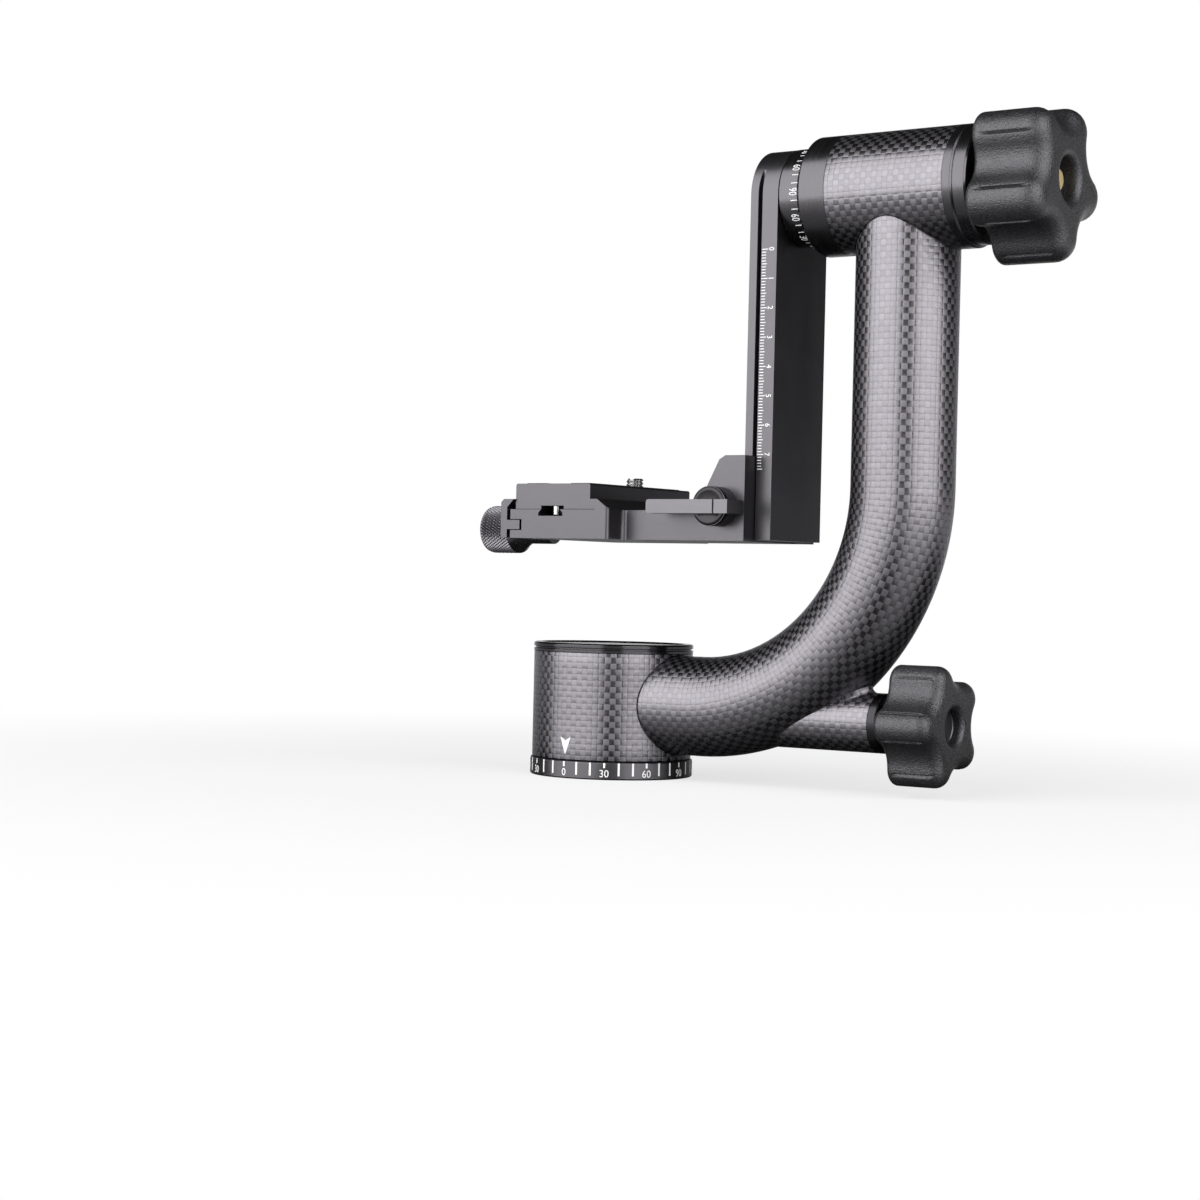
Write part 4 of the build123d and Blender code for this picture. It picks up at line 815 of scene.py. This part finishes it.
def finishes():
    """All finishes by name, made once."""
    if not FINISHES:
        rgb = bpy.context.scene.head_finishes
        black = tuple(rgb.black_metal)
        for look, (name, share, grain, rough, depth) in BLACKS.items():
            FINISHES[look] = black_metal_finish(name, [c * share for c in black], grain, rough, depth)
        FINISHES.update({
            "carbon": carbon_finish(rgb.carbon),
            "bare": metal_finish("machined aluminium", rgb.bare_metal, 0.34),
            "steel": metal_finish("steel", rgb.steel, 0.28),
            "brass": metal_finish("brass", rgb.brass, 0.22, metallic=0.6),
            "rubber": rubber_finish("grip rubber", rgb.rubber, 0.36, 1700.0, 0.15),
            "pad": rubber_finish("pad rubber", rgb.pad, 0.6, 1900.0, 0.05),
            "paint": paint_finish("scale paint", rgb.paint),
            "vial": clear_finish("level vial", rgb.vial, 0.03, 0.06),
            "fluid": clear_finish("level fluid", rgb.fluid, 0.02, 0.62),
            "bubble": clear_finish("level bubble", rgb.bubble, 0.02, 0.7),
        })
    return FINISHES


# Machined nodes by their finish and the size of their broken edges
MACHINED = {
    ("black", "bevel"): ["height_bracket", "moving_jaw", "release_plate"],
    ("brushed", "bevel"): ["swing_arm"],
    ("lever", "fine_bevel"): ["lock_lever"],
    ("black", "fine_bevel"): ["base_ring"],
    ("gloss", "fine_bevel"): ["base_cap"],
    # The branch ring takes the much darker copy of the black, a painted shade
    ("resin", "fine_bevel"): ["branch_ring"],
    ("turned", "fine_bevel"): ["tilt_collar", "tilt_end_ring", "tilt_index_ring"],
}
# Nodes that keep their CAD shape, by finish
CAD_NODES = {
    "bare": ["base_core", "lower_plug", "upper_plug", "tilt_sleeve", "spindle", "bearing_retainer"],
    "black": ["pan_knob_hub", "tilt_knob_hub"],
    "steel": ["tripod_insert", "base_screws", "pan_inner_races", "pan_outer_races", "pan_balls", "brake_drum",
              "spindle_nut", "tilt_inner_races", "tilt_outer_races", "tilt_balls", "tilt_axle", "arm_screws",
              "lever_stud", "guide_pins", "clamp_screw", "stop_screws", "slot_slider", "screw_washer",
              "pan_lock_rod", "tilt_brake_disc", "pan_knob_screw"],
    "brass": ["pan_brake_pad", "tilt_knob_screw"],
    "pad": ["base_pad"],
    "vial": ["level_vial"],
    "fluid": ["level_fluid"],
    "bubble": ["level_bubble"],
}


# ---- Operators ----

class HEAD_OT_tubes(bpy.types.Operator):
    """Makes the woven shell, arm, branch and tilt housing, and the resin beads where they meet"""
    bl_idname = "head.tubes"
    bl_label = "Woven tubes"

    def execute(self, context):
        size, looks = Millimetres(context.scene.head_sizes), finishes()
        cell, tube, shell, housing = size.weave_cell, size.tube_radius, size.shell_radius, size.housing_radius
        blank = woven_ring("blank", shell, SHELL_WALL, SHELL_Z, cell, about_z)
        woven = {
            "arm_tube": arm_tube("woven_arm", size),
            "base_shell": bored(blank, "woven_shell", tube - size.tube_wall, (0.0, shell + 2), TUBE_Z),
            "tilt_housing": woven_ring("woven_housing", housing, HOUSING_WALL, HOUSING_X, cell, about_x),
            "branch_tube": branch_tube("woven_branch", size),
        }
        for node, mesh in woven.items():
            place(mesh, looks["carbon"], node)
        seams = (seam_bead("shell_seam", (0, 0, TUBE_Z), (1, 0, 0), (0, 0, -1), tube, shell, size.seam),
                 seam_bead("housing_seam", (UPRIGHT_X, 0, TILT_Z), (0, 0, -1), (1, 0, 0), tube, housing,
                           size.seam))
        for mesh in seams:
            place(mesh, looks["resin"], body="arm")
        return {"FINISHED"}


class HEAD_OT_machined(bpy.types.Operator):
    """Makes the black machined pieces with broken edges"""
    bl_idname = "head.machined"
    bl_label = "Machined pieces"

    def execute(self, context):
        sizes, looks = context.scene.head_sizes, finishes()
        for (look, edge), nodes in MACHINED.items():
            for node in nodes:
                machined(node, node + "_edged", looks[look], getattr(sizes, edge))
        machined("plate_pads", "plate_pads_edged", looks["pad"], sizes.fine_bevel)
        # The boss's front takes the much darker copy, painted darker than the lever's bar as painted shade
        self.lever_boss(looks["resin"])
        return {"FINISHED"}

    def lever_boss(self, material):
        """The front of the lever's boss, turned about its axis along Y."""
        profile = np.array(BOSS_PROFILE)
        r, y = profile[:, :1], profile[:, 1:]
        turn = full_turn(64)
        points = stacked(BOSS_X + r * np.cos(turn), -y, BOSS_Z + r * np.sin(turn))
        place(surface("lever_boss", points), material, body="lever")


class HEAD_OT_knobs(bpy.types.Operator):
    """Makes the two lobed knobs, the knurled clamp knob and the threaded camera screw"""
    bl_idname = "head.knobs"
    bl_label = "Knobs and camera screw"

    def execute(self, context):
        size, looks = Millimetres(context.scene.head_sizes), finishes()
        place(grip("tilt_grip", TILT_KNOB, size.grip_groove), looks["rubber"], "tilt_knob")
        place(grip("pan_grip", PAN_KNOB, size.grip_groove), looks["rubber"], "pan_knob")
        place(self.brass_screw(), looks["brass"], "tilt_knob_screw")
        place(self.knob_cap(), looks["black"], body="pan_knob_body")
        knurled = knurled_knob("knurled_clamp_knob", size.knurl_depth)
        place(knurled, looks["knurl"], "clamp_knob")
        card = turned("level_card", disc(*LEVEL_CARD_X, LEVEL_CARD_R), SCREW_Z)
        place(card, looks["paint"], body="clamp_knob_body")
        place(threaded_stud("threaded_stud"), looks["steel"], body="camera_screw_body")
        machined("camera_screw", "camera_screw_head", looks["steel"],
                 context.scene.head_sizes.fine_bevel, SCREW_HEAD_TOP)
        return {"FINISHED"}

    def brass_screw(self):
        """A plain disc with a rounded edge on the floor of the tilt knob's dish."""
        floor_x, s = TILT_KNOB["x"][1] - TILT_KNOB["dish"][1], BRASS_SCREW
        profile = disc(floor_x - s["sunk"], floor_x + s["proud"], s["radius"])
        outline = rounded(profile, [0, 0, s["round"], 0], 9)
        return turned("brass_screw", outline, TILT_Z, close_rows=True)

    def knob_cap(self):
        """A thin cap with a raised rim in the dish of the pan knob."""
        c = KNOB_CAP
        back = PAN_KNOB["x"][1] - PAN_KNOB["dish"][1] + c["raised"]
        face = back + c["height"]
        inside = face - c["dished"]
        outline = rounded([(back, 0), (back, c["radius"]), (face, c["radius"]), (face, c["rim"]),
                           (inside, c["inner"]), (inside, 0)], [0, *[c["round"]] * 4, 0])
        return turned("pan_knob_cap", outline, LOCK_Z, close_rows=True)


class HEAD_OT_scales(bpy.types.Operator):
    """Makes the pan scale, the tilt scale, the ruler on both edges of the swing arm and the index arrow"""
    bl_idname = "head.scales"
    bl_label = "Scales"

    def execute(self, context):
        size, paint = Millimetres(context.scene.head_sizes), finishes()["paint"]
        self.ring_scale("pan_scale", "base", PAN_SCALE, size.pan_tick, size.paint, about_z, paint)
        self.ring_scale("tilt_scale", "swing", TILT_SCALE, size.tilt_tick, size.paint, about_x, paint)
        self.ruler("ruler_front", -1, size.ruler_tick, size.paint, paint)
        self.ruler("ruler_back", 1, size.ruler_tick, size.paint, paint)
        self.arrow(size.shell_radius, size.paint, paint)
        return {"FINISHED"}

    def ring_scale(self, name, body, scale, wide, proud, about, paint):
        """Ticks round a ring every 10 degrees, and every 30 degrees a short one by a number that counts
        from 0 to 90 and back."""
        r, (short, full, end) = scale["radius"], scale["ticks"]
        place_of, height, width, first = scale["numbers"]
        turn = np.arange(0, 360, 10)
        parts = [ticks(np.radians(turn) * r, np.where(turn % 30 == 0, short, full), end, wide, proud)]
        for step in range(12):
            number = abs(((step + first) * 30 + 90) % 180 - 90)
            points, faces = numeral(str(number), height, width, proud)
            parts.append((points + [math.radians(30 * step) * r, place_of, 0], faces))
        marks(name, body, parts, lambda right, up, out: about(up, r + out, right / r), paint)

    def ruler(self, name, side, wide, proud, paint):
        """Millimetre ticks down from 0, longer every 5 and 10, with the centimetres numbered."""
        mm = np.arange(RULER_LENGTH + 1)
        tens, fives, ones = RULER_TICKS
        reach = np.where(mm % 10 == 0, tens, np.where(mm % 5 == 0, fives, ones))
        parts = [ticks(mm, RULER_X, RULER_X + reach, wide, proud)]
        for step in range(RULER_LENGTH // 10 + 1):
            points, faces = numeral(str(step), RULER_NUMBER, RULER_NUMBER_WIDTH, proud)
            parts.append((points * [-side, 1, 1] + [10.0 * step, RULER_NUMBER_X, 0], faces))

        def onto_arm(down, x, out):
            return stacked(x, side * (ARM_FACE_Y + out), RULER_ZERO_Z - down)

        marks(name, "swing", parts, onto_arm, paint)

    def arrow(self, r, proud, paint):
        """A notched arrowhead. Its lower edge rises from the tip with the distance from the middle, and its
        upper edge from the notch, to the same height at the sides."""
        s = np.linspace(-1, 1, 25)
        t = np.linspace(0, 1, 5)[:, None]
        low, high = ARROW_SIDE * np.abs(s), ARROW_NOTCH + (ARROW_SIDE - ARROW_NOTCH) * np.abs(s)
        up = ARROW_TIP_Z + low + t * (high - low)
        face, back = (about_z(up, r + out, ARROW_HALF_WIDTH * s / r) for out in (proud, -SUNK))
        points = np.concatenate([face, back[::-1]])
        mesh = surface("index_arrow", points, close_rows=True, close_columns=False)
        place(mesh, paint, body="arm")


class HEAD_OT_inside(bpy.types.Operator):
    """Gives the bearings, plugs, screws and the bubble level their finishes"""
    bl_idname = "head.inside"
    bl_label = "Small and inner pieces"

    def execute(self, context):
        looks = finishes()
        for look, nodes in CAD_NODES.items():
            for node in nodes:
                slots = frame["nodes"][node].material_slots
                if not slots:
                    raise RuntimeError(f"{node} has no material slot")
                for slot in slots:
                    slot.material = looks[look]
        return {"FINISHED"}


class HEAD_OT_stage(bpy.types.Operator):
    """Makes the floor, the softboxes, the world and the camera"""
    bl_idname = "head.stage"
    bl_label = "Stage"

    # Softboxes: turn to the right of the line to the camera in degrees, then distance, width and height in
    # metres. The other places here are in metres too, and the floor is in millimetres.
    SOFTBOXES = {"left softbox": (-57, 1.25, 1.95, 2.1), "right softbox": (43, 1.45, 1.75, 2.1)}
    CAMERA_SIDE = -55.0
    LIT_SPOT_X, LAMP_GAP = 0.06, 0.02
    VIEW_LEFT, VIEW_HEIGHT = 0.0054, 0.06916
    FLOOR_HALF, FLOOR_DROP = 4000.0, 0.02
    # Distances from the head over which the floor turns white, as seen and in reflections
    WHITE_SEEN, WHITE_MIRRORED = (0.12, 0.45), (0.25, 0.9)
    # Reflections see a white backdrop ahead of the camera and low down, and the dark elsewhere
    AHEAD, AHEAD_SHARE, LOW_SHARE = (-0.57, 0.82), (0.4, 0.97), (0.1, 0.45)
    BACKDROP, DARK = 0.85, 0.02

    def execute(self, context):
        studio = context.scene.head_studio
        self.floor(tuple(studio.floor))
        self.world(studio.fill)
        for name, sizes in self.SOFTBOXES.items():
            self.softbox(name, *sizes, studio.softbox)
        self.camera(studio)
        context.scene.view_settings.view_transform = "Standard"
        return {"FINISHED"}

    def rays(self, wire):
        """Two masks: rays from the camera, and rays in reflections and through glass."""
        camera = wire.add("ShaderNodeLightPath", out="Is Camera Ray")
        return camera, camera.other("Is Glossy Ray").maximum(camera.other("Is Transmission Ray"))

    def floor(self, rgb):
        """A wide square just under the head's foot. The camera sees it go over into white away from the
        head, and so do reflections, which close to the head see a dark satin floor."""
        edge = np.array([-self.FLOOR_HALF, self.FLOOR_HALF])
        x, y = np.meshgrid(edge, edge, indexing="ij")
        mesh = surface("floor", stacked(x, y, -self.FLOOR_DROP), close_columns=False)
        if mesh.polygons[0].normal.z < 0:
            mesh.flip_normals()
        material = bpy.data.materials.new("pale floor")
        wire = fresh_tree(material)
        spot = wire.add("ShaderNodeTexCoord", out="Object")
        distance = spot.add("ShaderNodeVectorMath", {"operation": "LENGTH"}, {0: spot}, "Value")
        away, far = distance.between(*self.WHITE_SEEN), distance.between(*self.WHITE_MIRRORED)
        tone = spot.noise(9.0).shades(rgb, 0.97, 1.0)
        matt = wire.add("ShaderNodeBsdfPrincipled", None, {"Base Color": tone, "Roughness": 0.9})
        satin = wire.add("ShaderNodeBsdfPrincipled", None,
                         {"Base Color": (0.03, 0.03, 0.03, 1), "Roughness": 0.15, "Specular IOR Level": 1.0})
        white = wire.add("ShaderNodeEmission", None, {"Color": (1, 1, 1, 1), "Strength": 1.0})
        camera, mirror = self.rays(wire)
        lit = wire.add("ShaderNodeMixShader", None, {0: mirror * (1 - camera), 1: matt, 2: satin})
        white_part = camera * (0.7 + away * 0.3) + (1 - camera) * mirror * far * 0.9
        mix = wire.add("ShaderNodeMixShader", None, {0: white_part, 1: lit, 2: white})
        wire.add("ShaderNodeOutputMaterial", None, {"Surface": mix})
        mesh.materials.append(material)
        obj = bpy.data.objects.new("floor", mesh)
        bpy.context.scene.collection.objects.link(obj)

    def world(self, fill):
        """A white backdrop. In reflections it dims towards the top and front, where a studio is dark."""
        world = bpy.data.worlds.new("studio")
        bpy.context.scene.world = world
        wire = fresh_tree(world)
        camera, mirror = self.rays(wire)
        x, y, z = wire.add("ShaderNodeTexCoord", out="Generated").xyz()
        behind = (x * self.AHEAD[0] + y * self.AHEAD[1]).between(*self.AHEAD_SHARE)
        low = 1 - z.between(*self.LOW_SHARE)
        backdrop = behind * low * self.BACKDROP + self.DARK
        level = camera.choose(fill + mirror * (backdrop - fill), 1.0)
        light = wire.add("ShaderNodeBackground", None, {"Color": (1, 1, 1, 1), "Strength": level})
        wire.add("ShaderNodeOutputWorld", None, {"Surface": light})

    def softbox(self, name, turn, distance, width, height, level):
        """A tall area lamp on the floor, facing the upright, turned by an angle in degrees to the right of
        the line to the camera. Its power is its brightness times pi times its area."""
        lamp = bpy.data.lights.new(name, "AREA")
        lamp.shape, lamp.size, lamp.size_y = "RECTANGLE", width, height
        lamp.energy = level * math.pi * width * height
        to = math.radians(self.CAMERA_SIDE + turn)
        out = np.array([math.cos(to), math.sin(to), 0.0])
        side = np.array([-out[1], out[0], 0.0])
        spot = out * distance + [self.LIT_SPOT_X, 0, height / 2 + self.LAMP_GAP]
        obj = self.aimed(name, lamp, spot, (side, [0, 0, 1], out))
        obj.visible_camera = False

    def camera(self, studio):
        """A camera that looks at the head from the side of its knobs, turned by a small pitch and roll."""
        turn, pitch, roll = studio.camera_turn, studio.camera_pitch, studio.camera_roll
        right = np.array([math.cos(turn), math.sin(turn), 0.0])
        level = np.array([-math.sin(turn), math.cos(turn), 0.0])
        ahead = level * math.cos(pitch) - np.array([0, 0, math.sin(pitch)])
        up = np.cross(right, ahead)
        across = right * math.cos(roll) + up * math.sin(roll)
        upward = -right * math.sin(roll) + up * math.cos(roll)
        spot = -self.VIEW_LEFT * right - studio.camera_distance * level + [0, 0, self.VIEW_HEIGHT]
        lens = bpy.data.cameras.new("camera")
        lens.sensor_width, lens.lens, lens.clip_start = 36.0, studio.lens, 0.01
        bpy.context.scene.camera = self.aimed("camera", lens, spot, (across, upward, -ahead))

    def aimed(self, name, data, spot, axes):
        """An object at a spot in metres, with its own X, Y and Z along the given axes."""
        obj = bpy.data.objects.new(name, data)
        bpy.context.scene.collection.objects.link(obj)
        obj.matrix_world = Matrix.Translation(spot) @ Matrix(np.array(axes).T.tolist()).to_4x4()
        return obj


class HEAD_PT_panel(bpy.types.Panel):
    """Lists the steps and the settings of the tripod head"""
    bl_idname = "HEAD_PT_panel"
    bl_label = "Gimbal head"
    bl_space_type = "VIEW_3D"
    bl_region_type = "UI"
    bl_category = "Head"

    def draw(self, context):
        for step in STEPS:
            self.layout.operator(step.bl_idname)
        for group in (context.scene.head_sizes, context.scene.head_finishes, context.scene.head_studio):
            box = self.layout.box()
            for name in group.__annotations__:
                box.prop(group, name)


STEPS = (HEAD_OT_tubes, HEAD_OT_machined, HEAD_OT_knobs, HEAD_OT_scales, HEAD_OT_inside, HEAD_OT_stage)
CLASSES = (HeadSizes, HeadFinishes, HeadStudio, *STEPS, HEAD_PT_panel)


def register():
    for item in CLASSES:
        bpy.utils.register_class(item)
    bpy.types.Scene.head_sizes = PointerProperty(type=HeadSizes)
    bpy.types.Scene.head_finishes = PointerProperty(type=HeadFinishes)
    bpy.types.Scene.head_studio = PointerProperty(type=HeadStudio)


def unregister():
    del bpy.types.Scene.head_studio, bpy.types.Scene.head_finishes, bpy.types.Scene.head_sizes
    for item in reversed(CLASSES):
        bpy.utils.unregister_class(item)


def main():
    register()
    bpy.ops.head.tubes()
    bpy.ops.head.machined()
    bpy.ops.head.knobs()
    bpy.ops.head.scales()
    bpy.ops.head.inside()
    bpy.ops.head.stage()


if __name__ == "__main__":
    main()
